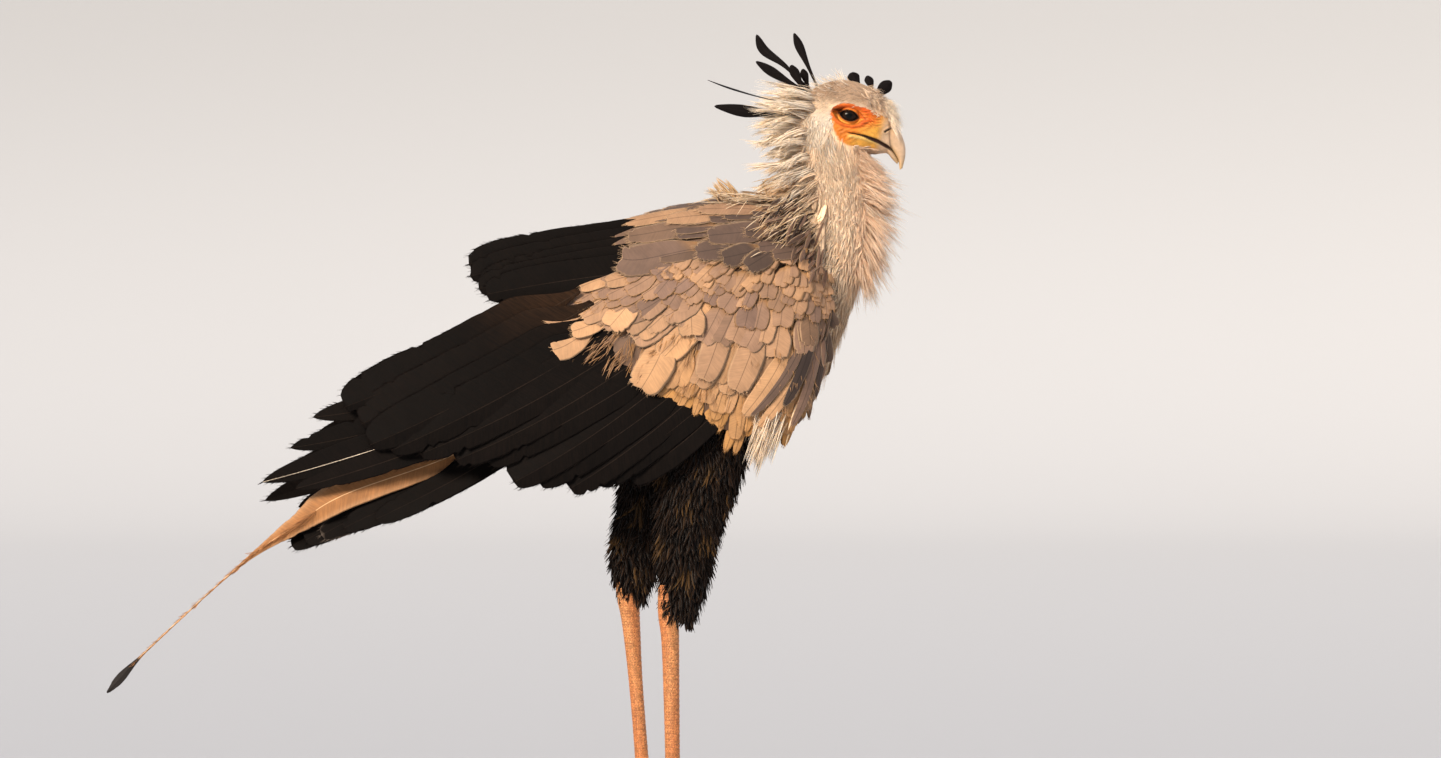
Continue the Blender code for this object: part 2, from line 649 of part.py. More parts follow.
# ---- the bird -----------------------------------------------------------------------------------
def main():
    clear_scene()
    paint = make_palette()
    line = make_body(paint)
    body = body_cutter("body_cutter", line, paint)
    for name, path, width, edge_on in CREST:
        carve(plume(name, path, width, edge_on, paint), body)

    carve(slab("tail_fan", tail_grid(), TAIL_THICKNESS, paint["black"]), body)
    tail_cutter = slab("tail_cutter", tail_grid(), TAIL_THICKNESS, paint["black"], grow=GAP)
    streamer_cutters = []
    for side, word in SIDES:
        carve(streamer("tail_streamer_" + word, side, paint), body, tail_cutter)
        streamer_cutters.append(streamer("streamer_cutter_" + word, side, paint, grow=GAP))

    for side, word in SIDES:
        parts, cut = {}, {}
        for group, (middle, thickness, colour) in wing_sheets(side, paint).items():
            parts[group] = slab(f"wing_{group}_{word}", middle, thickness, colour)
            if group in ("coverts", "secondaries", "scapulars"):
                cut[group] = slab(f"cutter_{group}_{word}", middle, thickness, colour, grow=GAP)
        carve(parts["coverts"], body)
        carve(parts["secondaries"], body, cut["coverts"])
        carve(parts["primaries"], body, cut["coverts"], cut["secondaries"], tail_cutter, *streamer_cutters)
        carve(parts["scapulars"], body, cut["coverts"])
        carve(parts["tertials"], body, cut["scapulars"], cut["coverts"], cut["secondaries"])
        make_leg(side, word, paint, [body, cut["coverts"], cut["secondaries"]])


main()
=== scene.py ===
# %% [markdown]
# # A standing secretary bird
#
# This lesson dresses a life-size secretary bird. The solids of the bird are
# already there as a fixed frame, in metres, with the bird looking along +X.
# Here each solid of flesh gets a skin with real folds, and on the skin lie
# thousands of feathers, each of them a thin closed mesh.

import bpy
import numpy as np
from numpy.random import default_rng
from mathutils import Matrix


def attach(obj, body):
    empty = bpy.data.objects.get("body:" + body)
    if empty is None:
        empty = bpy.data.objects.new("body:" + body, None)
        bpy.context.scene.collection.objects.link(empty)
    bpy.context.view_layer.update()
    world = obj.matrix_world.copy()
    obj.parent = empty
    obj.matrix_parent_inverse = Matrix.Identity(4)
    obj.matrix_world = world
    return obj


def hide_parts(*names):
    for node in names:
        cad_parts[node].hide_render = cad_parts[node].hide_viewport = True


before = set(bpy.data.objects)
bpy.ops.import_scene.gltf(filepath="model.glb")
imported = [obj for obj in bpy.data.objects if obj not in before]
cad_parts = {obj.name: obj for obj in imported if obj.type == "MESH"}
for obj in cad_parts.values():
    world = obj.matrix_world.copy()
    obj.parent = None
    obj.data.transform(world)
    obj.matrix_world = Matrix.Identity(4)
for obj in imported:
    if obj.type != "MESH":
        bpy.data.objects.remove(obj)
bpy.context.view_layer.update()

# %% [markdown]
# ## Words used all through
#
# Every measure below is in millimetres and becomes metres at the very end. A
# colour is given in the 0 to 255 numbers of a paint chart and turned into the
# linear values that shaders take. `curve` is the one curve of this lesson: a
# smooth line through a few stations, which also carries widths and depths.

# %% Measures, colours and curves
MM = 0.001
RIGHT, LEFT = -1, 1
SIDES = {"right": RIGHT, "left": LEFT}


def smooth(x, low, high):
    """0 below low and 1 above high; between them 3 t^2 - 2 t^3 of the share t of the way."""
    t = np.clip((x - low) / (high - low), 0, 1)
    return t * t * (3 - 2 * t)


def fall(x, low, high):
    """1 below low and 0 above high: smooth turned over."""
    return 1 - smooth(x, low, high)


def hump(x, width):
    """A bell of height 1 round 0: e to the power of minus (x / width) squared."""
    return np.exp(-((x / width) ** 2))


def paint(red, green, blue):
    """Linear colour of a chart colour: each number over 255, to the power of 2.2."""
    return (np.array([red, green, blue]) / 255) ** 2.2


def mix(a, b, weight):
    """a where weight is 0 and b where it is 1, in a straight line between."""
    weight = np.asarray(weight)[..., None]
    return a * (1 - weight) + b * weight


def layered(colour, *coats):
    """A colour under coats of (paint, weight), each mixed over what lies below it."""
    for coat, weight in coats:
        colour = mix(colour, coat, weight)
    return colour


def unit(v):
    """Each vector over its own length."""
    v = np.asarray(v, float)
    return v / np.maximum(np.linalg.norm(v, axis=-1, keepdims=True), 1e-12)


def stacked(*parts):
    """Arrays side by side as the last axis of one, such as x, y and z. A plain number is repeated."""
    return np.stack(np.broadcast_arrays(*parts), -1)


def net(rows, columns):
    """Two arrays that pair each of rows with each of columns."""
    return np.meshgrid(rows, columns, indexing="ij")


def turns(count, full=2 * np.pi):
    """count even steps round a full turn, in radians unless full says otherwise."""
    return np.linspace(0, full, count + 1)[:-1]


def curve(rows, at):
    """A smooth curve through rows: between two rows runs the cubic whose slope at each is half the step
    between its neighbours, and beyond the ends it goes on straight."""
    rows, at = np.asarray(rows, float), np.asarray(at, float)
    last = len(rows) - 1
    inside = np.clip(at, 0, last)
    first = np.minimum(inside.astype(int), last - 1)
    t, past = (inside - first)[..., None], (at - inside)[..., None]
    ring = np.concatenate([2 * rows[:1] - rows[1:2], rows, 2 * rows[-1:] - rows[-2:-1]])
    a, b, c, d = (ring[first + k] for k in range(4))
    line = 0.5 * (2 * b + (c - a) * t + (2 * a - 5 * b + 4 * c - d) * t**2 + (3 * b - a - 3 * c + d) * t**3)
    return line + np.where(past < 0, past * (rows[1] - rows[0]), past * (rows[-1] - rows[-2]))


# %% [markdown]
# ## Meshes from arrays
#
# A mesh is a list of corners and a list of faces that name them, so whole
# numpy arrays can be handed to Blender at once. A grid of points that runs
# round a closed section becomes a tube, whose two ends are closed with one
# face each. If its volume comes out negative, all faces are turned over.

# %% From arrays to meshes
def grid_faces(rows, ring):
    """Quads between neighbours of a grid whose rows are closed rings, and the two end faces."""
    r, c = net(np.arange(rows - 1), np.arange(ring))
    a, b = r * ring + c, r * ring + (c + 1) % ring
    quads = stacked(a, b, b + ring, a + ring).reshape(-1, 4)
    ends = np.stack([np.arange(ring)[::-1], (rows - 1) * ring + np.arange(ring)])
    return quads, ends


def volume(points, face_sets):
    """Six times the volume inside the faces: the sum of the triple products of each fan triangle."""
    total = 0
    for faces in face_sets:
        for k in range(1, faces.shape[1] - 1):
            a, b, c = (points[faces[:, i]] for i in (0, k, k + 1))
            total += (a * np.cross(b, c)).sum()
    return total


def tube(points):
    """A closed shell over a grid (rows, ring, 3), its faces pointing outwards."""
    rows, ring, _ = points.shape
    flat = points.reshape(-1, 3)
    faces = list(grid_faces(rows, ring))
    if volume(flat, faces) < 0:
        faces = [f[:, ::-1] for f in faces]
    return flat, faces


def join(shells):
    """Several (points, faces) as one: each shell's faces count on from the corners before it."""
    points, faces, start = [], [], 0
    for shell_points, shell_faces in shells:
        points.append(shell_points)
        faces += [f + start for f in shell_faces]
        start += len(shell_points)
    return np.concatenate(points), faces


def new_object(name, data):
    """An object with this mesh, light or camera, put into the scene."""
    made = bpy.data.objects.new(name, data)
    bpy.context.scene.collection.objects.link(made)
    return made


def make_object(name, points, faces, colours=None, barbs=None, bake=None, flat=None):
    """A mesh object from points in millimetres, with its colours and barb measures on its corners."""
    mesh = bpy.data.meshes.new(name)
    corners = np.concatenate([f.ravel() for f in faces]).astype(np.int32)
    sizes = np.concatenate([np.full(len(f), f.shape[1]) for f in faces])
    mesh.vertices.add(len(points))
    mesh.vertices.foreach_set("co", (points * MM).astype(np.float32).ravel())
    mesh.loops.add(len(corners))
    mesh.loops.foreach_set("vertex_index", corners)
    mesh.polygons.add(len(sizes))
    mesh.polygons.foreach_set("loop_start", (np.cumsum(sizes) - sizes).astype(np.int32))
    mesh.polygons.foreach_set("use_smooth", np.ones(len(sizes), bool) if flat is None else ~flat)
    mesh.update(calc_edges=True)
    if colours is not None:
        layer = mesh.color_attributes.new("tint", "FLOAT_COLOR", "POINT")
        opaque = np.ones((len(points), 1))
        layer.data.foreach_set("color", np.hstack([colours, opaque]).astype(np.float32).ravel())
    if barbs is not None:
        layer = mesh.attributes.new("barb", "FLOAT_VECTOR", "POINT")
        layer.data.foreach_set("vector", barbs.astype(np.float32).ravel())
    if bake is not None:
        layer = mesh.uv_layers.new(name="OFBake")
        layer.uv.foreach_set("vector", bake[corners].astype(np.float32).ravel())
    return new_object(name, mesh)


def finish_piece(piece, material, slot, *nodes):
    """Gives a piece its material, the body it rides on and the solids it stands for, which it hides. slot
    is not used.
    """
    piece.data.materials.append(material)
    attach(piece, "root")
    if nodes:
        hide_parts(*nodes)
    triangles = sum(len(p.vertices) - 2 for p in piece.data.polygons)
    print(piece.name, triangles, "triangles")


# %% [markdown]
# ## Camera, floor and light
#
# A bird this tall is best seen from the side and from far away, so the camera
# stands ten metres off at the height of the breast with a long lens. The
# floor is a shallow bowl: flat under the bird, and rising far behind it, so
# that no edge cuts the picture. The light is one large warm soft source far
# off on the camera's left, a weak cool one opposite, and a pale sky. A lamp
# close by would light the head more than the feet.

# %% Camera
camera_data = bpy.data.cameras.new("camera")
camera_data.lens = 199.9
camera_data.sensor_width = 36
camera_data.clip_end = 200
camera = new_object("camera", camera_data)
camera.location = (0.267, -10, 0.6075)
camera.rotation_euler = (np.pi / 2, 0, 0)
bpy.context.scene.camera = camera

# %% Floor and light
BOWL_FLAT, BOWL_RISE, BOWL_SIDES = 20000.0, 14000.0, 96


def bowl():
    """A surface of revolution: flat out to 20 m, then a quarter circle of 14 m upwards."""
    flat_part = stacked(np.linspace(0, BOWL_FLAT, 12)[1:], 0)
    turn = np.linspace(0, np.pi / 2, 24)[1:]
    wall = stacked(BOWL_FLAT + BOWL_RISE * np.sin(turn), BOWL_RISE * (1 - np.cos(turn)))
    profile = np.concatenate([flat_part, wall])
    around = turns(BOWL_SIDES)
    grid = stacked(profile[:, :1] * np.cos(around), profile[:, :1] * np.sin(around), profile[:, 1:])
    quads, ends = grid_faces(len(profile), BOWL_SIDES)
    return grid.reshape(-1, 3), [quads[:, ::-1], ends[:1, ::-1]]


floor = make_object("floor", *bowl())


def far_light(name, towards, spread, strength, colour):
    """A soft light far away: it shines along towards, from a disc spread degrees wide."""
    data = bpy.data.lights.new(name, "SUN")
    data.angle, data.energy, data.color = np.radians(spread), strength, colour
    light = new_object(name, data)
    back = -unit(towards)
    light.rotation_euler = (np.arccos(back[2]), 0, np.arctan2(back[1], back[0]) + np.pi / 2)


far_light("key_light", (0.52, 0.78, -0.42), 28, 7.3, (1.0, 0.87, 0.72))
far_light("fill_light", (-0.75, -0.45, -0.35), 50, 1.0, (0.86, 0.9, 1.0))
world = bpy.data.worlds.new("pale_sky")
world.use_nodes = True
world.node_tree.nodes["Background"].inputs["Color"].default_value = (0.9, 0.88, 0.91, 1)
world.node_tree.nodes["Background"].inputs["Strength"].default_value = 0.68
bpy.context.scene.world = world
bpy.context.scene.view_settings.view_transform = "Standard"

# %% [markdown]
# ## Materials
#
# A feather is a shaft with hundreds of thin barbs, which leave it at a slant
# and show as fine lines. Each corner of a feather therefore carries its
# distance from the shaft and from its root, and the material draws the barbs
# from those: fine ridges for the bump, and broken streaks for the colour. The
# broad markings come from the colour painted on the corners, so that the skin
# below and the feathers above it can share them.

# %% Material helpers
def new_material(name, **fixed):
    """An empty material: a function that adds a node, and one that links a node's result to a socket of
    the shader. fixed are the shader's plain values, with _ for each space in a socket's name."""
    material = bpy.data.materials.new(name)
    material.use_nodes = True
    tree = material.node_tree
    shader = tree.nodes["Principled BSDF"]
    for socket, value in fixed.items():
        shader.inputs[socket.replace("_", " ")].default_value = value

    def add(kind, inputs=(), **settings):
        node = tree.nodes.new("ShaderNode" + kind)
        for key, value in settings.items():
            setattr(node, key, value)
        for key, value in dict(inputs).items():
            if isinstance(value, bpy.types.NodeSocket):
                tree.links.new(value, node.inputs[key])
            else:
                node.inputs[key].default_value = value
        return node

    def link(out, socket):
        tree.links.new(out, shader.inputs[socket])

    return material, add, link


def maths(add, operation, a, b=0.0):
    """One Math node's result."""
    return add("Math", {0: a, 1: b}, operation=operation).outputs[0]


def plus(add, a, b):
    """a + b as a node's result."""
    return maths(add, "ADD", a, b)


def times(add, a, b):
    """a times b as a node's result."""
    return maths(add, "MULTIPLY", a, b)


def ramp(add, value, low, high, to_low=0.0, to_high=1.0):
    """value carried smoothly from low..high to to_low..to_high."""
    inputs = {"Value": value, "From Min": low, "From Max": high, "To Min": to_low, "To Max": to_high}
    return add("MapRange", inputs, interpolation_type="SMOOTHSTEP").outputs[0]


def scaled(add, colour, amount):
    """A colour with each of its three parts multiplied by amount."""
    return add("VectorMath", {0: colour, "Scale": amount}, operation="SCALE").outputs[0]


def noise(add, place, scale, detail, **more):
    """A cloudy pattern round 0.5: the greater scale, the smaller its clouds."""
    return add("TexNoise", {"Vector": place, "Scale": scale, "Detail": detail, **more}).outputs[0]


def toned(add, pattern, low, high):
    """A cloudy pattern's middle values, 0.3 to 0.7, carried to low..high."""
    return ramp(add, pattern, 0.3, 0.7, low, high)


def attribute(add, name, output):
    """What the mesh carries on its corners under a name."""
    return add("Attribute", attribute_name=name).outputs[output]


def painted(add, tone):
    """The colour painted on the corners, times tone."""
    return scaled(add, attribute(add, "tint", "Color"), tone)


def bumped(add, height, strength, distance):
    """The normal of a surface with ridges of this height: distance is in metres."""
    return add("Bump", {"Height": height, "Strength": strength, "Distance": distance}).outputs[0]


# %% Feather and skin materials
def feather_material(
        name, roughness, shaft, streak, sheen, specular=0.35, slope=0.55, pitch=8.0, glow=0.0, relief=0.3):
    """Painted colour, times broken streaks along the barbs, with the shaft drawn darker or lighter, and
    fine ridges as bump. A barb goes forward by slope for each step away from the shaft."""
    material, add, link = new_material(
        name, Specular_IOR_Level=specular, Subsurface_Weight=glow,
        Subsurface_Radius=(0.002, 0.0014, 0.0009), Subsurface_Scale=1.0, Sheen_Weight=sheen,
        Sheen_Roughness=0.4)
    parts = add("SeparateXYZ", {0: attribute(add, "barb", "Vector")})
    away = maths(add, "ABSOLUTE", parts.outputs[0])
    slant = maths(add, "SUBTRACT", parts.outputs[1], times(add, away, slope))
    lines = maths(add, "SINE", times(add, slant, pitch))
    place = add("CombineXYZ", {0: times(add, slant, 0.55), 1: times(add, away, 0.05), 2: parts.outputs[2]})
    broken = noise(add, place.outputs[0], 1.0, 3.0, Roughness=0.65)
    mottle = noise(add, add("TexCoord").outputs["Object"], 55.0, 3.0)
    tone = plus(add, toned(add, broken, 1 - streak, 1 + streak), times(add, lines, streak * 0.2))
    tone = times(add, tone, toned(add, mottle, 0.9, 1.1))
    stem = ramp(add, away, 0.25, 0.8, shaft, 1.0)
    link(painted(add, times(add, tone, stem)), "Base Color")
    ridges = plus(add, lines, times(add, broken, 2.0))
    link(bumped(add, ridges, relief, 0.0004), "Normal")
    link(toned(add, broken, roughness - 0.06, roughness + 0.06), "Roughness")
    return material


pale_feather = feather_material(
    "pale_feather", 0.8, 0.97, 0.1, 0.15, specular=0.15, slope=5.0, pitch=2.2, glow=0.3, relief=0.2)
grey_feather = feather_material("grey_feather", 0.72, 0.55, 0.1, 0.08, relief=0.1)
black_feather = feather_material("black_feather", 0.62, 1.6, 0.4, 0.0, specular=0.08)
streamer_feather = feather_material("streamer_feather", 0.62, 1.3, 0.16, 0.05)
breeches_feather = feather_material(
    "breeches_feather", 0.8, 1.1, 0.2, 0.08, specular=0.06, slope=6.0, pitch=1.8)
PALE, GREY = (pale_feather, "pale_down"), (grey_feather, "grey_plumage")
DARK, BREECHES = (black_feather, "black_plumage"), (breeches_feather, "black_plumage")


def skin_material():
    """Painted colour; on the legs small rounded scales with painted shade at their rims, on the face fine
    pebbles and folds with painted shade in their hollows, elsewhere plain.
    """
    material, add, link = new_material(
        "bird_skin", Subsurface_Weight=0.08, Subsurface_Radius=(0.004, 0.0015, 0.0008),
        Specular_IOR_Level=0.4)
    kind = add("SeparateXYZ", {0: attribute(add, "barb", "Vector")})
    place = add("TexCoord").outputs["Object"]
    scale_size = {"Vector": place, "Scale": 420.0, "Randomness": 0.85}
    scales = add("TexVoronoi", scale_size, feature="DISTANCE_TO_EDGE")
    cells = add("TexVoronoi", scale_size)
    pebbles = add("TexVoronoi", {"Vector": place, "Scale": 900.0})
    blotch = noise(add, place, 90.0, 4.0, Roughness=0.6)
    edge = ramp(add, scales.outputs["Distance"], 0.02, 0.22)
    tone = ramp(add, cells.outputs["Color"], 0.1, 0.9, 0.84, 1.2)
    # painted shade: each leg scale darker at its rim, where the bump sinks; the scales' own tones differ at
    # random
    leg_tone_and_rim_shade = times(add, ramp(add, edge, 0, 1, 0.68, 1.06), tone)
    crease = noise(add, place, 210.0, 4.0, Roughness=0.6, Distortion=0.4)
    # painted shade: the face darker between its pebbles and in the hollows of its folds, where the bump
    # sinks
    face_hollow_shade = times(
        add, ramp(add, pebbles.outputs["Distance"], 0.1, 0.6, 1.03, 0.93),
        ramp(add, crease, 0.34, 0.6, 0.88, 1.04))
    tone = times(
        add, ramp(add, kind.outputs[0], 0, 1, 1.0, leg_tone_and_rim_shade),
        ramp(add, kind.outputs[1], 0, 1, 1.0, face_hollow_shade))
    tone = times(add, tone, toned(add, blotch, 0.86, 1.14))
    link(painted(add, tone), "Base Color")
    folds = maths(
        add, "SUBTRACT", ramp(add, crease, 0.35, 0.6), times(add, pebbles.outputs["Distance"], 0.35))
    height = plus(add, times(add, edge, kind.outputs[0]), times(add, folds, kind.outputs[1]))
    link(bumped(add, height, 0.45, 0.0005), "Normal")
    link(toned(add, blotch, 0.5, 0.64), "Roughness")
    return material


bird_skin = skin_material()


def horn_material(name, roughness, coat):
    """Painted colour with fine growth lines along the bill, and a thin gloss."""
    material, add, link = new_material(name, Coat_Weight=coat, Coat_Roughness=0.25)
    place = add("TexCoord").outputs["Object"]
    stretched = add("Mapping", {"Vector": place, "Scale": (60.0, 420.0, 150.0)}).outputs[0]
    grain = noise(add, stretched, 1.0, 4.0, Roughness=0.6)
    cloud = noise(add, place, 120.0, 2.0)
    tone = times(add, toned(add, grain, 0.9, 1.07), toned(add, cloud, 0.93, 1.06))
    link(painted(add, tone), "Base Color")
    link(bumped(add, grain, 0.25, 0.0003), "Normal")
    link(toned(add, grain, roughness, roughness + 0.12), "Roughness")
    return material


horn = horn_material("bill_horn", 0.34, 0.25)
claw_horn = horn_material("claw_horn", 0.32, 0.3)


def floor_material():
    """A pale matt floor, a little darker as it rises, where it faces the light more squarely."""
    material, add, link = new_material("pale_floor", Roughness=0.9, Specular_IOR_Level=0.1)
    height = add("SeparateXYZ", {0: add("TexCoord").outputs["Object"]}).outputs[2]
    tone = ramp(add, height, -0.3, 3.0, 0.5, 0.32)
    cool = add(
        "CombineXYZ", {0: times(add, tone, 0.95), 1: times(add, tone, 0.99), 2: times(add, tone, 1.06)})
    link(cool.outputs[0], "Base Color")
    return material


floor.data.materials.append(floor_material())

# %% [markdown]
# ## The shape of the body
#
# Trunk, neck and head are one long loft. Each station is a slanting oval,
# given by its top point, its bottom point and its half width, from the root
# of the tail to the base of the bill. The last two numbers say how deep the
# coat is there, along the slant and across it: the skin lies that far inside
# the outline that the feathers make.

# %% The body's loft
OVAL = 2 / 2.3
BODY = [
    (51, 650, 61, 588, 26, 9, 7), (85, 700, 114, 545, 54, 12, 11), (141, 758, 185, 511, 80, 12, 12),
    (210, 792, 260, 511, 92, 12, 12), (279, 816, 326, 531, 92, 12, 12), (331, 832, 374, 562, 84, 13, 13),
    (355, 842, 412, 632, 68, 15, 14), (356, 850, 444, 704, 57, 17, 14), (352, 864, 466, 754, 49, 20, 14),
    (346, 880, 475, 800, 45, 23, 14), (341, 902, 474, 838, 43, 23, 13), (342, 926, 461, 869, 42, 18, 11),
    (354, 952, 451, 885, 40, 10, 7), (381, 972, 452, 886, 36, 4, 3), (414, 982, 457, 887, 31.5, 2.6, 2),
    (444, 977, 464, 887, 26.5, 2.4, 2), (469, 961, 476, 888, 17, 2.2, 1.6),
    (483.5, 929, 478, 889, 11.9, 0.2, 0.0)]
BODY_LAST = len(BODY) - 1


def slanting(row, rise, coat):
    """The x and z of a section at the share rise, -1 to 1, of the way from its bottom point to its top
    point, with the coat's depth taken off at both ends."""
    middle, half = (row[..., 0:2] + row[..., 2:4]) / 2, (row[..., 0:2] - row[..., 2:4]) / 2
    keep = rise * (1 - coat / np.maximum(np.linalg.norm(half, axis=-1), 1e-6))
    flat = middle + half * keep[..., None]
    return flat[..., 0], flat[..., 1]


def oval_loft(rows, u, v, power=OVAL):
    """The point at station u and turn v, from 0 at the top by way of the left side to 1: cosine and sine,
    to a power below 1 for a fuller oval, times half its height and its half width."""
    row = curve(rows, u)
    turn = 2 * np.pi * np.asarray(v)
    rise = np.sign(np.cos(turn)) * np.abs(np.cos(turn)) ** power
    out = np.sign(np.sin(turn)) * np.abs(np.sin(turn)) ** power
    x, z = slanting(row, rise, row[..., 5])
    return stacked(x, out * (row[..., 4] - row[..., 6]), z)


def body(u, v):
    """The bird's skin under its coat."""
    return oval_loft(BODY, u, v)


def slopes(surface, u, v, flip=1):
    """The two slopes of a surface by a small step either way, and its outward normal."""
    step = 1e-3
    along = (surface(u + step, v) - surface(u - step, v)) / (2 * step)
    across = (surface(u, v + step) - surface(u, v - step)) / (2 * step)
    return along, across, unit(np.cross(along, across)) * flip


# %% [markdown]
# ## The face
#
# A secretary bird has a bare face from the bill to behind the eye: orange and
# finely wrinkled, with a ridge over the eye like a brow, loose folds below it
# and a yellow rim along the gape. Each fold is a small bell-shaped rise or
# groove round a line on the side of the head, so each can be named and
# changed. The eyelids are the skin itself, laid over the eyeball round an
# almond opening.

# %% Lines of the face
EYE = (427.0, 25.0, 936.0)
EYE_BALL = (11.5, 10.4, 9.5)
LID_TILT = np.radians(-13)
FACE_TOP = [
    (398, 944), (406, 950), (420, 952.5), (434, 952), (449, 948), (461, 940), (474, 934), (486, 934)]
FACE_BOTTOM = [
    (403, 932), (410, 914), (416, 904), (422, 901), (432, 898.5), (455, 894.5), (468, 891), (478, 886),
    (488, 880)]
BROW = [(402, 945), (412, 948), (426, 949), (440, 947), (452, 941.5), (464, 934)]
GAPE = [(424, 914.6), (435, 913), (446.3, 910.8), (463.5, 905), (476.4, 897.9), (486, 890)]
NOSTRIL = ((472.0, 916.0), (481.0, 921.0))


def line_height(line, x):
    """How high a line of the face runs at x."""
    points = np.array(line, float)
    return np.interp(x, points[:, 0], points[:, 1])


def face_share(x, z):
    """1 on the bare face and 0 in the feathers, with a soft edge of about 3 mm."""
    top, bottom = line_height(FACE_TOP, x), line_height(FACE_BOTTOM, x)
    rear = 404 + 0.22 * np.abs(z - 938)
    return smooth(top - z, -1.5, 2) * smooth(z - bottom, -3, 2.5) * smooth(x - rear, -2.5, 2)


def eye_ring(x, z):
    """A point's distance from the eye in almond shapes, 1 on the lids' edge, and its height above it."""
    dx, dz = x - EYE[0], z - EYE[2]
    p = dx * np.cos(LID_TILT) + dz * np.sin(LID_TILT)
    q = dz * np.cos(LID_TILT) - dx * np.sin(LID_TILT)
    ring = np.hypot(p / 10.8, q / np.where(q > 0, 6.0, 6.9))
    return ring * (1 - 0.09 * hump(q, 2.4) * np.abs(p / 10.8)), q


def wrinkle_share(x, z):
    """1 on the wrinkled skin between eye and bill."""
    return smooth(x, 436, 444) * fall(x, 462, 470) * smooth(z, 918, 926)


def wrinkle_wave(x, z):
    """The wrinkles: a sine across slanting lines, which sway with another sine."""
    return np.sin((x * 0.5 + z * 1.35 + 2.0 * np.sin(x * 0.4)) * 1.3)


def segment_distance(x, z, a, b):
    """Distance from points to the straight line from a to b."""
    a, b = np.array(a), np.array(b)
    along = np.clip(((x - a[0]) * (b - a)[0] + (z - a[1]) * (b - a)[1]) / ((b - a) @ (b - a)), 0, 1)
    return np.hypot(x - a[0] - along * (b - a)[0], z - a[1] - along * (b - a)[1])


# %% Folds of the face
def face_relief(x, z):
    """How far the bare skin stands out, in mm: brow ridge, rings round the eye, wrinkles before it, lips
    along the gape, and the nostril's slit."""
    ring, above = eye_ring(x, z)
    brow = 3.0 * hump(z - line_height(BROW, x) + 1.0, 3.1) * smooth(x, 402, 409) * fall(x, 452, 466)
    below = fall(above, -2, 3)
    rings = (
        -0.75 * hump(ring - 1.62, 0.13) + (0.5 + 0.5 * below) * hump(ring - 1.98, 0.17)
        - 0.55 * hump(ring - 2.38, 0.14))
    rings = rings + 0.5 * below * hump(ring - 2.75, 0.2)
    wrinkles = 0.62 * (wrinkle_share(x, z) * fall(z, 944, 950)) * wrinkle_wave(x, z)
    cheek = (
        0.3 * smooth(x, 408, 416) * fall(x, 432, 442) * fall(z, 918, 926)
        * np.sin((x * 0.5 - z * 1.0) * 1.2))
    gape_gap = z - line_height(GAPE, x)
    in_gape = smooth(x, 423, 429)
    lips = 1.1 * hump(gape_gap - 3.0, 2.2) + 1.3 * hump(gape_gap + 3.4, 2.3) - 2.1 * hump(gape_gap, 0.9)
    slit = segment_distance(x, z, *NOSTRIL)
    nostril = -2.2 * hump(slit, 1.1) + 0.6 * hump(slit - 2.3, 1.2)
    return brow + rings + wrinkles + cheek + in_gape * lips + nostril


def head_skin(u, v):
    """The body's loft with the face's folds, and with the skin laid over the eyeball as lids."""
    base = body(u, v)
    _, _, normal = slopes(body, u, v)
    x, y, z = base[..., 0], base[..., 1], base[..., 2]
    bare = face_share(x, z) * smooth(np.abs(y), 3, 9)
    sinking = smooth(u, 16.2, 17)
    raised = base + normal * (bare * (1.8 + face_relief(x, z)) * (1 - sinking) - 1.4 * sinking)[..., None]
    ring, _ = eye_ring(raised[..., 0], raised[..., 2])
    dx, dz = (
        (raised[..., 0] - EYE[0]) / (EYE_BALL[0] + 0.9), (raised[..., 2] - EYE[2]) / (EYE_BALL[2] + 1.6))
    over_ball = EYE[1] + (EYE_BALL[1] + 0.9) * np.sqrt(np.clip(1 - dx**2 - dz**2, 0, 1))
    lid = fall(ring, 1.28, 1.75) * (u > 12.5)
    out = np.abs(raised[..., 1])
    out = out * (1 - lid) + over_ball * lid
    out = out + 0.5 * hump(ring - 1.13, 0.1) * lid - 6.0 * fall(ring, 0.82, 1.0) * lid
    raised[..., 1] = np.where(raised[..., 1] < 0, -1, 1) * np.where(lid > 0, out, np.abs(raised[..., 1]))
    return raised


# %% [markdown]
# ## Colours of the coat
#
# The same rules colour the skin and the feathers over it, from nothing but a
# place on the body: cream on the neck, browner on the crown, whitish on the
# ear, buff on the breast, grey brown on the back, and black from the belly
# down to the heels. Most rules read the height at a slant, so that few
# borders run level.

# %% Paints
CREAM, WARM_CREAM, WHITE = paint(255, 221, 183), paint(242, 197, 160), paint(255, 236, 210)
CROWN, BUFF, TAN = paint(168, 132, 106), paint(186, 147, 108), paint(184, 134, 80)
MAUVE, GREY_BROWN, SLATE = paint(129, 103, 89), paint(108, 82, 64), paint(62, 51, 47)
BLACK, BROWN_BLACK = paint(21, 17, 15), paint(38, 29, 24)
ORANGE, RED_ORANGE, YELLOW = paint(228, 128, 44), paint(214, 84, 30), paint(236, 176, 76)
LEG_PINK, LEG_PALE = paint(211, 134, 81), paint(224, 163, 106)
HORN_PALE, HORN_YELLOW, HORN_TIP = paint(214, 181, 149), paint(224, 182, 118), paint(198, 164, 116)


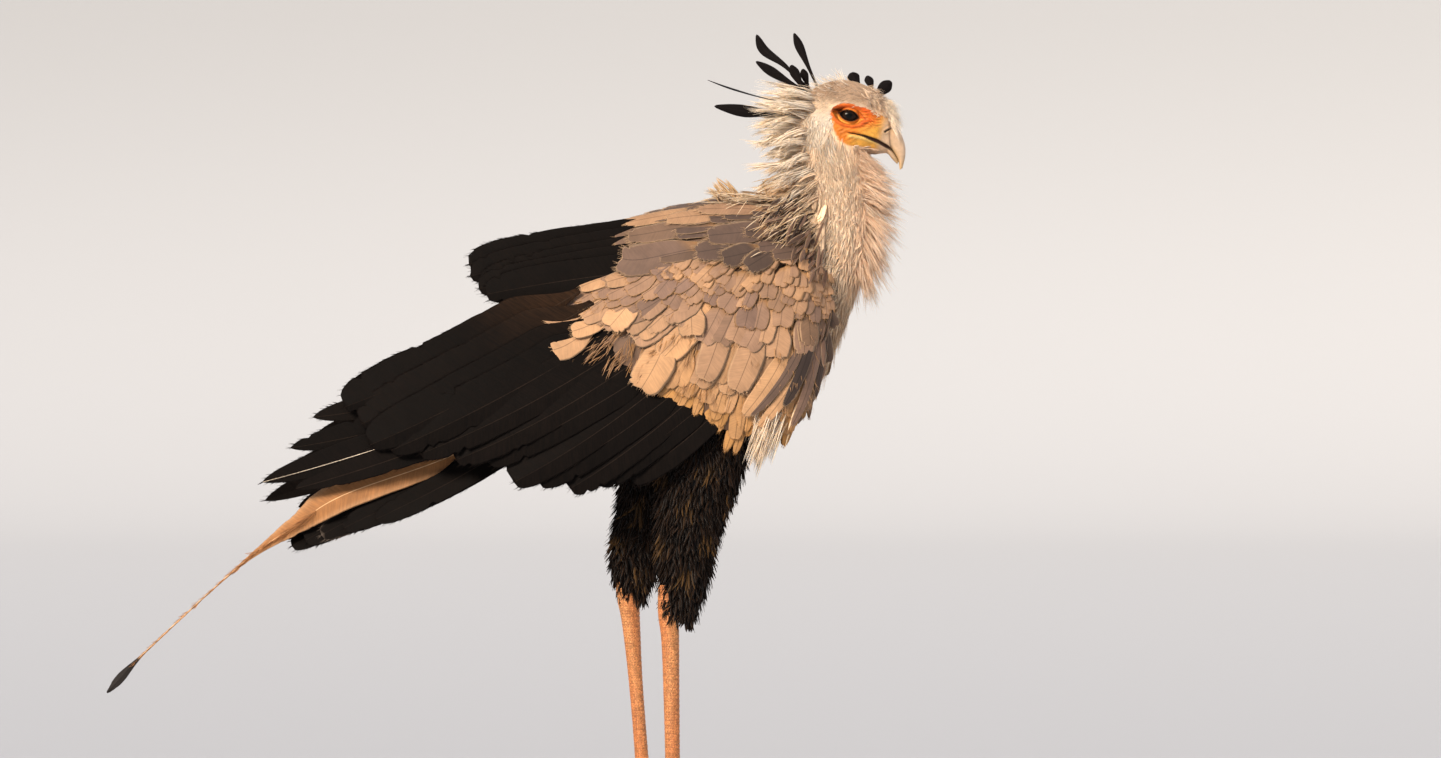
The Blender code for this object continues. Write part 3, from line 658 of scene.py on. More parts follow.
def plumage(p):
    """The coat's colour at places p on trunk, neck and head."""
    x, z = p[..., 0], p[..., 2]
    front = smooth(x - (z - 900) * 0.1, 415, 455)
    ear = np.hypot((x - 393) / 20, (z - 930) / 17)
    mantle = fall(z - 0.5 * (x - 330), 812, 862) * fall(x, 372, 402)
    breast, rump, dark = fall(z, 690, 790), fall(x, 150, 230), fall(z + 0.12 * x, 610, 650)
    return layered(
        CREAM,
        (WARM_CREAM, 0.55 * front * fall(z, 905, 930)),
        (CROWN, 0.8 * smooth(z + 0.25 * x, 1050, 1068) * smooth(x, 352, 395)),
        (WHITE, 0.85 * fall(ear, 0.6, 1.15)),
        (WHITE, 0.5 * smooth(x, 474, 484)),
        (GREY_BROWN, 0.75 * mantle),
        (BUFF, 0.6 * breast * smooth(x, 370, 400)),
        (BROWN_BLACK, rump),
        (BLACK, dark))


# %% [markdown]
# ## One skin for all the flesh
#
# Trunk, neck and head are one closed mesh. The head needs points half a
# millimetre apart round the eye, and the trunk only one every few
# millimetres, so the head's rings have five times as many points, and a row
# of eight-sided faces joins the two kinds of ring. The points are drawn
# together where the detail is.

# %% Grid of the body skin
RINGS_RATIO, BODY_RING, SEAM = 5, 60, 12.2


def packed(low, high, count, centre, width, amount):
    """Places from low to high, closer round each centre: a running sum of 1 plus bells, read backwards."""
    fine = np.linspace(low, high, 4001)
    density = 1 + amount * sum(np.exp(-(((fine - c) / width) ** 4)) for c in centre)
    total = np.concatenate([[0], np.cumsum((density[1:] + density[:-1]) / 2)])
    return np.interp(np.linspace(0, total[-1], count), total, fine)


def body_shell():
    """The trunk's coarse rings, the head's fine rings, the faces that join them, and both ends."""
    v_fine = packed(0, 1, RINGS_RATIO * BODY_RING + 1, (0.235, 0.765), 0.075, 2.2)[:-1]
    u_fine = packed(SEAM, BODY_LAST, 150, (14.15,), 0.8, 2.0)
    u_body = np.linspace(0, SEAM - 0.2, 64)
    coarse = body(*net(u_body, v_fine[::RINGS_RATIO]))
    fine = head_skin(*net(u_fine, v_fine))
    points = np.concatenate([coarse.reshape(-1, 3), fine.reshape(-1, 3)])
    low_quads, low_ends = grid_faces(len(u_body), BODY_RING)
    high_quads, high_ends = grid_faces(len(u_fine), len(v_fine))
    start = len(u_body) * BODY_RING
    k = np.arange(BODY_RING)
    last_ring = start - BODY_RING
    upper = start + (RINGS_RATIO * (k[:, None] + 1) - np.arange(RINGS_RATIO + 1)) % len(v_fine)
    stitch = np.hstack([last_ring + k[:, None], last_ring + ((k + 1) % BODY_RING)[:, None], upper])
    faces = [low_quads, low_ends[:1], stitch, high_quads + start, high_ends[1:] + start]
    return points, (faces if volume(points, faces) > 0 else [f[:, ::-1] for f in faces])


# %% Colour of the face
def face_colour(p, colour):
    """The coat's colour with the bare face painted in: orange, redder above and behind the eye, yellow
    before and below it, dark lid edges and cream towards the bill, with painted shade in the gape's crease,
    in the nostril's slit, in the groove round the eye and partly in the redder wrinkles' grooves."""
    x, y, z = p[..., 0], np.abs(p[..., 1]), p[..., 2]
    ring, above = eye_ring(x, z)
    gap, in_gape = z - line_height(GAPE, x), smooth(x, 423, 429)
    gape_shade_half_width = 0.7 + 2.0 * smooth(x, 432, 462) * (1 - 0.5 * smooth(x, 472, 484))
    eye_tail = segment_distance(x, z, (404, 944.5), (418, 942.0))
    skin = layered(
        ORANGE,
        (YELLOW, 0.85 * smooth(x - 1.3 * (z - 921), 434, 466)),
        (RED_ORANGE, 0.75 * hump(z - line_height(BROW, x) + 1, 3.2) * fall(x, 446, 462)),
        (RED_ORANGE, 0.7 * hump(ring - 2.0, 0.25) * fall(above, 0, 4)),
        (YELLOW, 0.8 * hump(ring - 1.36, 0.17) * fall(above, -3, 1)),
        # redder in the wrinkles' grooves: partly the skin's own colour, partly painted shade
        (RED_ORANGE, 0.6 * wrinkle_share(x, z) * (0.5 - 0.5 * wrinkle_wave(x, z))),
        (paint(244, 204, 120), 0.9 * in_gape * hump(gap + 3.6, 2.2)),
        (HORN_PALE, 0.95 * smooth(x - 0.25 * (z - 915), 461, 473)),
        # painted shade: a dark band in the crease of the gape, where the lips meet
        (paint(52, 27, 14), in_gape * fall(np.abs(gap + 0.6 * gape_shade_half_width - 0.4) / gape_shade_half_width, 0.7, 1.3)),
        # painted shade in the nostril's slit
        (paint(40, 26, 16), hump(segment_distance(x, z, *NOSTRIL), 1.25)),
        # painted shade in the groove round the eye
        (paint(120, 52, 26), 0.6 * hump(ring - 1.62, 0.1)),
        (paint(26, 14, 10), fall(ring, 1.0, 1.17)),
        (paint(60, 26, 16), 0.85 * hump(eye_tail, 1.5)))
    return mix(colour, skin, smooth(face_share(x, z), 0.05, 0.6) * smooth(y, 3, 9))


# %% [markdown]
# ## Legs and feet
#
# A bird's leg below the feathers is bone and sinew under scales. The shank is
# a tube with a knob at the heel joint, each toe is a tube with swellings
# between its joints, and the sole is a low dome. Tubes pushed through each
# other leave hard creases, so they are fused with a voxel remesh and relaxed.
# The scales come after that: broad plates across the front of the shank and
# the tops of the toes, and rounded ones in a honeycomb everywhere else.

# %% Leg measures
SHANK = {
    RIGHT: [
        (202, 352, 12.5), (202, 318, 13), (204.5, 284, 11.3), (206, 220, 10.2), (207.5, 130, 9.4),
        (208.5, 50, 10.2), (209, 22, 12)],
    LEFT: [
        (149, 372, 14), (150.5, 338, 14.6), (154.5, 300, 11.6), (160.5, 225, 8.9), (168, 130, 8.7),
        (173, 50, 10), (175, 22, 12)]}
FOOT_X, SHANK_Y = {RIGHT: 209, LEFT: 175}, {RIGHT: 62.0, LEFT: 63.5}
LEG_SPREAD = {RIGHT: 62, LEFT: 64}
TOES = {
    "middle": (2.0, 70.0, 1.0), "inner": (-32.0, 50.0, 0.94), "outer": (37.0, 50.0, 0.92),
    "hind": (176.0, 30.0, 0.85)}


def round_tube(centres, radii, sides=20, upright=False):
    """Circles of the given radii round a line of centres, each square to the line, or all upright."""
    centres, radii = np.asarray(centres, float), np.asarray(radii, float)
    way = unit(np.gradient(centres, axis=0))
    across = unit(np.cross(way, [0.0, 1.0, 0.0] if upright else [0.0, 0.0, 1.0]))
    over = unit(np.cross(across, way))
    turn = turns(sides)
    circle = across[:, None] * np.cos(turn)[:, None] + over[:, None] * np.sin(turn)[:, None]
    return tube(centres[:, None] + circle * radii[:, None, None])


def toe_line(side, name):
    """A toe's start on the floor plan, the way it points, its length and its share of full thickness."""
    heading, length, share = TOES[name]
    turn = np.radians(heading * side)
    start, way = (FOOT_X[side] + 2.0, side * LEG_SPREAD[side]), (np.cos(turn), np.sin(turn))
    return np.array(start), np.array(way), length, share


def toe_tube(side, name):
    """A toe: a tube that lies on the floor, swollen under each bone and narrower between."""
    start, way, length, share = toe_line(side, name)
    run = np.linspace(0, 1, 22)
    out = 4 + (length + 6) * run
    pads = 1 + 0.09 * np.cos(run * 2 * np.pi * (3 if length > 40 else 2)) * smooth(run, 0, 0.2)
    radius = 8 * share * curve([(1.08,), (1.0,), (0.93,), (0.93,), (0.66,)], run * 4)[:, 0] * pads
    centres = stacked(start[0] + way[0] * out, start[1] + way[1] * out, radius * 0.93)
    return round_tube(centres, radius)


def foot_shells(side):
    """Shank, sole pad and four toes of one leg, still pushed through each other."""
    rows = curve(SHANK[side], np.linspace(0, 6, 60))
    shank_line = stacked(rows[:, 0], side * SHANK_Y[side], rows[:, 1])
    heights, reaches = np.array([27, 22, 15, 7, 2.5, 0.4]), np.array([9, 13, 15.5, 16, 14.5, 11])
    turn = turns(32)
    pad = stacked(
        FOOT_X[side] + 2 + reaches[:, None] * np.cos(turn),
        side * LEG_SPREAD[side] + 0.92 * reaches[:, None] * np.sin(turn), heights[:, None])
    shank = round_tube(shank_line, rows[:, 2], 28, upright=True)
    return [shank, tube(pad)] + [toe_tube(side, name) for name in TOES]


# %% Fuse and relax
def fused(shells, voxel, rounds):
    """The shells as one skin: remeshed on a grid of voxel mm, then relaxed."""
    rough = make_object("rough_leg", *join(shells))
    remesh = rough.modifiers.new("fuse", "REMESH")
    remesh.mode, remesh.voxel_size = "VOXEL", voxel * MM
    relax = rough.modifiers.new("relax", "SMOOTH")
    relax.factor, relax.iterations = 0.5, rounds
    mesh = rough.evaluated_get(bpy.context.evaluated_depsgraph_get()).to_mesh()
    points = np.empty(len(mesh.vertices) * 3, np.float32)
    mesh.vertices.foreach_get("co", points)
    normals = np.empty_like(points)
    mesh.vertices.foreach_get("normal", normals)
    corners = np.empty(len(mesh.loops), np.int32)
    mesh.loops.foreach_get("vertex_index", corners)
    quads = corners.reshape(-1, 4)
    bpy.data.objects.remove(rough)
    return points.reshape(-1, 3).astype(float) / MM, normals.reshape(-1, 3).astype(float), quads


def honeycomb(a, b, size):
    """How near a point is to the rim of its cell, 0 on the rim: a honeycomb is two square-cornered
    lattices laid between each other, and the rim lies where both centres are equally far."""
    step = np.array([size, size * np.sqrt(3)])
    here = stacked(a, b)
    first = np.linalg.norm(here - np.round(here / step) * step, axis=-1)
    shifted = here - step / 2
    second = np.linalg.norm(shifted - np.round(shifted / step) * step, axis=-1)
    return np.abs(first - second) / size


def leg_shell(side):
    """One leg with its scales, their height in mm added along the normals, and its colours, with painted
    shade in the grooves between the scales.
    """
    points, normals, quads = fused(foot_shells(side), 1.4, 5)
    x, y, z = points.T
    rows = curve(SHANK[side], np.interp(-z, [-r[1] for r in SHANK[side]], range(7)))
    turn = np.arctan2((y - side * SHANK_Y[side]) * side, x - rows[:, 0])
    shank = smooth(z, 22, 34)
    front = smooth(np.cos(turn), 0.35, 0.75) * shank
    plates = np.abs(((z + 2.0 * turn**2) / 6.2) % 1 - 0.5) * 2
    cells = honeycomb(turn * rows[:, 2], z, 3.9)
    relief = (
        front * smooth(1 - plates, 0.05, 0.4) * 0.55
        + (1 - front) * shank * smooth(cells, 0.05, 0.4) * 0.5)
    near = np.full(len(points), 1e9)
    toe_run = np.zeros(len(points))
    for name in TOES:
        start, way, *_ = toe_line(side, name)
        flat = points[:, :2] - start
        run = flat @ way
        aside = np.abs(flat @ np.array([-way[1], way[0]])) + 50 * smooth(-run, -12, 0)
        toe_run = np.where(aside < near, run, toe_run)
        near = np.minimum(near, aside)
    on_top = smooth(normals[:, 2], 0.25, 0.6) * (1 - shank)
    scutes = 1 - np.abs((toe_run / 4.6) % 1 - 0.5) * 2
    relief = relief + on_top * smooth(scutes, 0.05, 0.5) * 0.6
    soles = smooth(-normals[:, 2], -0.2, 0.3) * (1 - shank)
    relief = relief + soles * smooth(honeycomb(x, y, 3.2), 0.05, 0.35) * 0.4 * smooth(z, 0.5, 2.5)
    groove = -0.9 * hump(np.abs(turn) - 1.9, 0.16) * shank * fall(z, 300, 325)
    points = points + normals * (relief + groove - 0.5)[:, None]
    points[:, 2] = np.maximum(points[:, 2], 0.0)
    # painted shade in the grooves between the scales
    valley_shade = shank * ((1 - front) * fall(cells, 0.02, 0.3) + front * fall(1 - plates, 0.02, 0.3))
    valley_shade = valley_shade + on_top * fall(scutes, 0.02, 0.4)
    return points, [quads], layered(
        LEG_PINK,
        (LEG_PALE, 0.55 * smooth(z, 60, 300) * (0.5 + 0.5 * np.sin(turn * 2 + z * 0.02))),
        (paint(196, 104, 70), 0.5 * fall(z, 20, 120)),
        (paint(150, 80, 52), 0.75 * valley_shade),
        (paint(150, 118, 96), 0.6 * soles * fall(z, 1, 8)))


# %% [markdown]
# ## Thighs and wings under the coat
#
# The thigh is a short thick loft, and the folded wing is a curved pad that
# lies along the trunk. Feathers hide both, so they only need to be the right
# shape for the feathers to stand on. Each is one formula, used twice: once
# for the skin and once for the roots of the feathers.

# %% Thigh and wing surfaces
THIGH = {
    RIGHT: [
        (306, 560, 196, 548, 38, -52), (300, 498, 186, 492, 38, -54), (281, 446, 184, 440, 36, -56),
        (264, 396, 184, 392, 33, -58), (255, 350, 188, 356, 28, -60), (241, 312, 191, 328, 20, -62)],
    LEFT: [
        (262, 560, 150, 548, 38, 52), (240, 498, 138, 492, 38, 54), (222, 446, 132, 440, 35, 56),
        (204, 396, 124, 392, 32, 59), (190, 362, 126, 366, 27, 61), (180, 338, 134, 346, 19, 63)]}
COVERT_TOP = [
    (401, 60, 722), (366, 80, 744), (304, 86, 752), (241, 86, 752), (179, 78, 742), (116, 66, 728),
    (62, 52, 704)]
COVERT_MID = [
    (397, 76, 655), (362, 103, 642), (295, 113, 645), (235, 114, 660), (172, 108, 668), (108, 96, 672),
    (54, 80, 678)]
COVERT_LOW = [
    (390, 62, 588), (352, 92, 540), (285, 106, 536), (229, 110, 566), (166, 108, 591), (100, 100, 614),
    (48, 86, 652)]
SCAPULAR_TOP = [(352, 14, 835), (291, 14, 833), (229, 14, 826), (166, 13, 812), (131, 14, 798)]
SCAPULAR_MID = [(352, 52, 812), (291, 54, 812), (229, 54, 804), (166, 46, 790), (128, 36, 780)]
SCAPULAR_LOW = [(350, 80, 764), (291, 86, 758), (229, 84, 756), (166, 74, 748), (134, 60, 756)]
COAT_ON_WING, COAT_ON_SHOULDER, COAT_ON_THIGH = 5.0, 4.0, 7.0


def cover(top, middle, low, side, sink):
    """A curved sheet s, t: at each t along the bird the parabola through its top, middle and low lines,
    moved in by sink."""
    def surface(s, t):
        a, b, c = (curve(line, t) for line in (top, middle, low))
        s = np.asarray(s)[..., None]
        p = a * (1 - s) * (1 - 2 * s) + b * 4 * s * (1 - s) + c * s * (2 * s - 1)
        return stacked(p[..., 0], (p[..., 1] - sink) * side, p[..., 2])
    return surface


def wing(side):
    """The sheet of the folded wing: s from its top down, t from its front back."""
    return cover(COVERT_TOP, COVERT_MID, COVERT_LOW, side, COAT_ON_WING)


def shoulder(side):
    """The sheet of the shoulder, above the wing."""
    return cover(SCAPULAR_TOP, SCAPULAR_MID, SCAPULAR_LOW, side, COAT_ON_SHOULDER)


def thigh(side):
    """The thigh's loft: a circle stretched from each station's front to its rear point and half width."""
    def surface(u, v):
        row = curve(THIGH[side], u)
        turn = 2 * np.pi * np.asarray(v)
        x, z = slanting(row, np.cos(turn), COAT_ON_THIGH)
        return stacked(x, row[..., 5] + np.sin(turn) * (row[..., 4] - COAT_ON_THIGH), z)
    return surface


def pad_shell(surface, last, thickness):
    """A closed pad: the sheet, and the same sheet moved in by its thickness, joined round the rim."""
    s, t = net(np.linspace(0.02, 0.98, 12), np.linspace(0.1, last - 0.1, 20))
    outer = surface(s, t)
    inner = outer - np.array([0, 1, 0]) * np.sign(outer[..., 1:2]) * thickness
    ring = np.concatenate([outer, inner[::-1]])
    return tube(ring.transpose(1, 0, 2))


# %% The skin object
def skin_parts():
    """All shells of the skin, their painted colours, and their shares of leg scales and of pebbles."""
    points, faces = body_shell()
    x, y, z = points.T
    bare = face_share(x, z) * smooth(np.abs(y), 3, 9) * fall(x, 458, 478)
    parts = [((points, faces), face_colour(points, plumage(points) * 0.95), stacked(0.0, bare, 0.0))]
    for side in SIDES.values():
        *leg, colour = leg_shell(side)
        parts.append((leg, colour, (1.0, 0.0, 0.0)))
        u, v = net(np.linspace(0, 5, 20), turns(32, 1))
        parts += [
            (tube(thigh(side)(u, v)), BLACK, (0.0, 0.0, 0.0)),
            (pad_shell(wing(side), 6, 12.0), GREY_BROWN, (0.0, 0.0, 0.0)),
            (pad_shell(shoulder(side), 4, 6.0), GREY_BROWN, (0.0, 0.0, 0.0))]
    colours, kinds = (
        np.concatenate([np.broadcast_to(part[k], part[0][0].shape) for part in parts]) for k in (1, 2))
    return *join([part[0] for part in parts]), colours, kinds


FLESH = ["trunk", "neck", "head"]
for side_name in SIDES:
    FLESH += [
        part + "_" + side_name for part in ("thigh", "shank", "foot", "wing_coverts", "wing_scapulars")]
    FLESH += [f"toe_{toe}_{side_name}" for toe in TOES]
skin = make_object("skin", *skin_parts())
finish_piece(skin, bird_skin, "leg_skin", *FLESH)

# %% [markdown]
# ## Eyes
#
# The eye of a secretary bird is dark brown and looks almost black, with one
# small glint. A ball with a second, steeper bulge in front is close to the
# real thing: the bulge is the cornea, and its wet gloss catches the light.
# The iris and the pupil are rings round the ball's own axis.

# %% Eyes
def eye_material():
    """Rings round the eye's own axis: pupil, brown iris with fine rays, dark rim, under a wet coat."""
    material, add, link = new_material(
        "wet_eye", Roughness=0.3, Specular_IOR_Level=0.08, Coat_Weight=0.2, Coat_Roughness=0.03)
    place = add("TexCoord").outputs["Object"]
    from_axis = {0: place, 1: (-EYE[0] * MM, 0, -EYE[2] * MM)}
    x, _, z = add("SeparateXYZ", {0: add("VectorMath", from_axis, operation="ADD").outputs[0]}).outputs
    out = maths(add, "SQRT", plus(add, times(add, x, x), times(add, z, z)))
    rays = noise(add, place, 900.0, 2.0)
    ring = add("ValToRGB", {"Fac": times(add, out, 100.0)})
    stops = ring.color_ramp.elements
    stops[0].position, stops[0].color = 0.36, (0.002, 0.002, 0.002, 1)
    stops[1].position, stops[1].color = 0.42, (0.012, 0.005, 0.003, 1)
    for position, colour in ((0.70, (0.018, 0.008, 0.004, 1)), (0.80, (0.003, 0.002, 0.002, 1))):
        stops.new(position).color = colour
    link(scaled(add, ring.outputs[0], toned(add, rays, 0.6, 1.4)), "Base Color")
    return material


wet_eye = eye_material()
for side_name, side in SIDES.items():
    polar, turn = net(np.linspace(0.03, np.pi - 0.03, 40), turns(48))
    bulge = 1 - 0.035 + 0.035 * smooth(np.cos(polar), 0.62, 0.9)
    ball = stacked(
        EYE[0] + EYE_BALL[0] * bulge * np.sin(polar) * np.cos(turn),
        side * (EYE[1] + EYE_BALL[1] * bulge * np.cos(polar)),
        EYE[2] + EYE_BALL[2] * bulge * np.sin(polar) * np.sin(turn))
    finish_piece(make_object("eyeball_" + side_name, *tube(ball)), wet_eye, "eye", "eye_" + side_name)

# %% [markdown]
# ## Bill
#
# Upper and lower bill are two lofts of horn. The stations fan round the hook,
# so the rings turn with the curve instead of being cut straight across. The
# horn is yellow at its root, pale in the middle and browner at the tip, and
# the nostril is a groove that begins in the skin of the face.

# %% Bill
UPPER_BILL = [
    (463, 950, 468, 904, 16.2), (471.6, 945, 473.6, 901, 14.3), (482, 932, 479.5, 894.5, 11.8),
    (491, 918, 484.5, 888, 9.2), (497.4, 901, 488.6, 881, 6.8), (498, 886, 490, 876, 4.4),
    (494.4, 871, 491, 869, 1.4)]
LOWER_BILL = [
    (466, 906, 466, 891, 14), (474.5, 902.5, 475.5, 889, 12), (480, 895, 480, 884, 9.4),
    (485.8, 887, 484, 879.5, 6), (489.6, 880, 488, 876, 2)]


def bill(rows, lower):
    """A horn loft with a rolled cutting edge, and its colours. Horn has no coat, so its depth is 0."""
    u, v = net(np.linspace(0, len(rows) - 1, 64), turns(64, 1))
    grid = oval_loft(np.pad(rows, ((0, 0), (0, 2))), u, v, 0.93)
    x, z = grid[..., 0], grid[..., 2]
    slit = segment_distance(x, z, *NOSTRIL)
    side_only = smooth(np.abs(grid[..., 1]), 3, 6) * (not lower)
    grid[..., 1] *= 1 - 0.16 * side_only * hump(slit, 1.2)
    points, faces = tube(grid)
    run = u.ravel() / (len(rows) - 1)
    edge = np.abs((v.ravel() + (0.5 if lower else 0)) % 1 - 0.5)
    colour = layered(
        HORN_YELLOW,
        (HORN_PALE, smooth(run, 0.2, 0.42)),
        (HORN_TIP, 0.7 * smooth(run, 0.72, 0.98)),
        (HORN_YELLOW, 0.8 * (0.5 if lower else hump(np.abs(v.ravel() - 0.5), 0.13))),
        # painted shade in the nostril's slit, which begins on the face
        (paint(40, 26, 16), (side_only * hump(slit, 1.2)).ravel()),
        # painted shade: a dark line along the cutting edges, where the two halves of the bill meet
        (paint(44, 26, 16), hump(edge, 0.09) * fall(run, 0.75, 0.95)))
    return points, faces, mix(face_colour(points, colour), colour, smooth(points[:, 0], 477, 487))


for name, rows, lower in (("bill_top", UPPER_BILL, False), ("bill_bottom", LOWER_BILL, True)):
    finish_piece(
        make_object(name, *bill(rows, lower)), horn, "horn", "bill_lower" if lower else "bill_upper")

# %% [markdown]
# ## Claws
#
# Each toe ends in a short dark claw, blunt because the bird walks on it. It
# is a tube along an arc, thinning to its tip.

# %% Claws
for side_name, side in SIDES.items():
    shells = []
    for name in TOES:
        start, way, length, share = toe_line(side, name)
        t = np.linspace(0, 1, 18)
        reach = length + 6 + 22 * t
        height = (6.2 - 0.6 * t + 2.2 * np.sin(np.pi * t) - 4.4 * t**2) * share
        radius = np.maximum(4.3 * (1 - t**1.4) ** 0.8, 0.35) * share
        centres = stacked(
            start[0] + way[0] * reach, start[1] + way[1] * reach, np.maximum(height, radius * 0.9))
        shells.append(round_tube(centres, radius, 16))
    points, faces = join(shells)
    shade = mix(paint(58, 48, 44), paint(26, 22, 22), smooth(points[:, 2], 1, 8))
    piece = make_object("claws_" + side_name, points, faces, shade)
    finish_piece(piece, claw_horn, "claw", *[f"claw_{name}_{side_name}" for name in TOES])

# %% [markdown]
# ## One feather, thousands of times
#
# A feather here is a thin closed strip. Its section has a few points across
# the top, from one edge over the raised shaft to the other edge, and perhaps
# one below, and the sections are carried along the shaft's line. Because
# every step is a whole array, a thousand feathers are made as fast as one.
# The top is shaded smooth and the underside flat, which keeps the thin edge
# crisp.

# %% Vanes
def two_sided(half):
    """Half widths (n, rows) as (n, rows, 2): the same on both sides of the shaft."""
    return stacked(half, half) if half.ndim == 2 else half


def shaft_lines(root, way, long, bend, s):
    """Lines (n, rows, 3) from roots: way times the share s of a length, plus bend times s squared."""
    s = s[None, :, None]
    return root[:, None] + way[:, None] * long * s + bend * long * s**2


def vanes(path, up, half, across=(-1.0, 0.0, 1.0), crest=0.35, camber=0.12, under=None, slant=0.0):
    """Feathers from shaft lines (n, rows, 3): each section reaches half (n, rows, 2) to either side, is
    crest mm higher at the shaft and bends down to its edges by camber times its half width. Its edges lie
    forward of the shaft by slant times their distance from it, as barbs do."""
    n, rows, _ = path.shape
    half = two_sided(half)
    way = unit(np.gradient(path, axis=1))
    over = unit(np.cross(way, up))
    up = np.cross(over, way)
    cols = np.array(across, float)
    reach = np.where(cols < 0, half[..., :1], half[..., 1:]) * cols
    height = crest * (cols == 0) - camber * half.mean(-1)[..., None] * cols**2
    if under is not None:
        cols = np.append(cols, 0.0)
        reach = np.concatenate([reach, reach[..., :1] * 0], -1)
        height = np.concatenate([height, height[..., :1] * 0 - under], -1)
    ring = len(cols)
    forward = slant * np.abs(reach)
    points = path[:, :, None] + over[:, :, None] * reach[..., None] + up[:, :, None] * height[..., None]
    points = points + way[:, :, None] * forward[..., None]
    quads, ends = grid_faces(rows, ring)
    start = (np.arange(n) * rows * ring)[:, None, None]
    steps = np.linalg.norm(np.diff(path, axis=1), axis=-1)
    length = np.concatenate([np.zeros((n, 1)), np.cumsum(steps, 1)], 1)
    return {
        "points": points.reshape(-1, 3), "quads": (quads + start).reshape(-1, 4),
        "ends": (ends + start).reshape(-1, ring),
        "below": np.tile(np.arange(ring) >= len(across) - 1, (rows - 1) * n), "across": cols,
        "shape": (n, rows, ring), "reach": reach, "forward": forward, "length": length,
        "share": length / length[:, -1:]}


def coloured(feathers, core, rim, root, rim_from=0.55, root_to=0.3, tip_from=0.82):
    """Paints each feather: root colour at its base, core over the vane, rim along its edges and tip."""
    core, rim, root = (np.atleast_2d(c)[:, None, None] for c in (core, rim, root))
    s = feathers["share"]
    edge = np.maximum(np.abs(feathers["across"]), smooth(s, tip_from, 1.0)[..., None] * 0.97)
    colour = mix(core, rim, smooth(edge, rim_from, 1.0))
    colour = mix(colour, root, fall(s, 0, root_to)[..., None])
    feathers["tint"] = colour.reshape(-1, 3)
    return feathers


def rooted(feathers, place, seed, size=(0.003, 0.003)):
    """Lays each feather's small patch of the OFBake map at its root's place (n, 2), and gives each a
    number of its own for the barb streaks."""
    wide, tall = feathers["across"] * 0.5 + 0.5, feathers["share"][..., None]
    patch = place[:, None, None] + stacked(wide * size[0], tall * size[1])
    feathers["bake"] = np.clip(patch, 0, 1).reshape(-1, 2)
    own = default_rng(seed).uniform(0, 400, feathers["shape"][0])
    along = feathers["length"][..., None] + feathers["forward"]
    feathers["barbs"] = stacked(feathers["reach"], along, own[:, None, None]).reshape(-1, 3)
    return feathers


def dress(name, batches, finish, *nodes):
    """Joins batches of feathers as one piece. finish holds its material and a slot name, which is not used.
    """
    points, faces, flat, start = [], [], [], 0
    for batch in batches:
        points.append(batch["points"])
        faces += [batch["quads"] + start, batch["ends"] + start]
        flat += [batch["below"], np.ones(len(batch["ends"]), bool)]
        start += len(batch["points"])
    tint, barbs, bake = (np.concatenate([b[key] for b in batches]) for key in ("tint", "barbs", "bake"))
    piece = make_object(name, np.concatenate(points), faces, tint, barbs, bake, np.concatenate(flat))
    finish_piece(piece, *finish, *nodes)


# %% [markdown]
# ## Where feathers grow and how they lie
#
# Feathers have to be spread evenly over a curved skin, so a surface is first
# cut into cells, each cell's area is summed up, and the running sum is read
# backwards: big cells then get more roots than small ones. A feather's line
# follows the skin in the direction it lies, and rises a little from root to
# tip, so its tip rests on the roots of the next ones.

# %% Roots and lines
def spread(surface, count, u_range, v_range, seed, weight=None):
    """count roots spread evenly over a part of a surface, thinned by weight: a running sum of cell areas
    read backwards along u, and along v in each row of cells."""
    k, cells = np.arange(count), 56
    p, q = (k * 0.7548776662 + 0.137 * seed) % 1, (k * 0.5698402910 + 0.291 * seed) % 1
    u_cuts, v_cuts = np.linspace(*u_range, cells + 1), np.linspace(*v_range, cells + 1)
    u, v = net((u_cuts[1:] + u_cuts[:-1]) / 2, (v_cuts[1:] + v_cuts[:-1]) / 2)
    along, across, _ = slopes(surface, u, v)
    area = np.linalg.norm(np.cross(along, across), axis=-1) + 1e-9
    if weight is not None:
        area = area * np.maximum(weight(surface(u, v)), 1e-7)
    rows = np.concatenate([[0], np.cumsum(area.sum(1))])
    at_u = np.interp(p * rows[-1], rows, u_cuts)
    line = np.clip(((at_u - u_cuts[0]) / (u_cuts[-1] - u_cuts[0]) * cells).astype(int), 0, cells - 1)
    sums = np.concatenate([np.zeros((cells, 1)), np.cumsum(area, 1)], 1)
    sums = sums / sums[:, -1:] * (1 - 1e-9) + np.arange(cells)[:, None]
    at_v = np.interp(line + q * (1 - 1e-9), sums.ravel(), np.tile(v_cuts, cells))
    return at_u, at_v


def steps_on(surface, u, v, way, length, flip=1):
    """How far u and v change over length mm in a direction: the direction laid into the two slopes of the
    surface by least squares. Also the length of the slope across."""
    along, across, _ = slopes(surface, u, v, flip)
    a, b, c = (along * along).sum(-1), (along * across).sum(-1), (across * across).sum(-1)
    p, q = (way * along).sum(-1), (way * across).sum(-1)
    det = np.maximum(a * c - b * b, 1e-9)
    du, dv = (c * p - b * q) / det, (a * q - b * p) / det
    size = length / np.maximum(np.linalg.norm(along * du[:, None] + across * dv[:, None], axis=-1), 1e-9)
    return du * size, dv * size, np.sqrt(np.maximum(c, 1e-9))


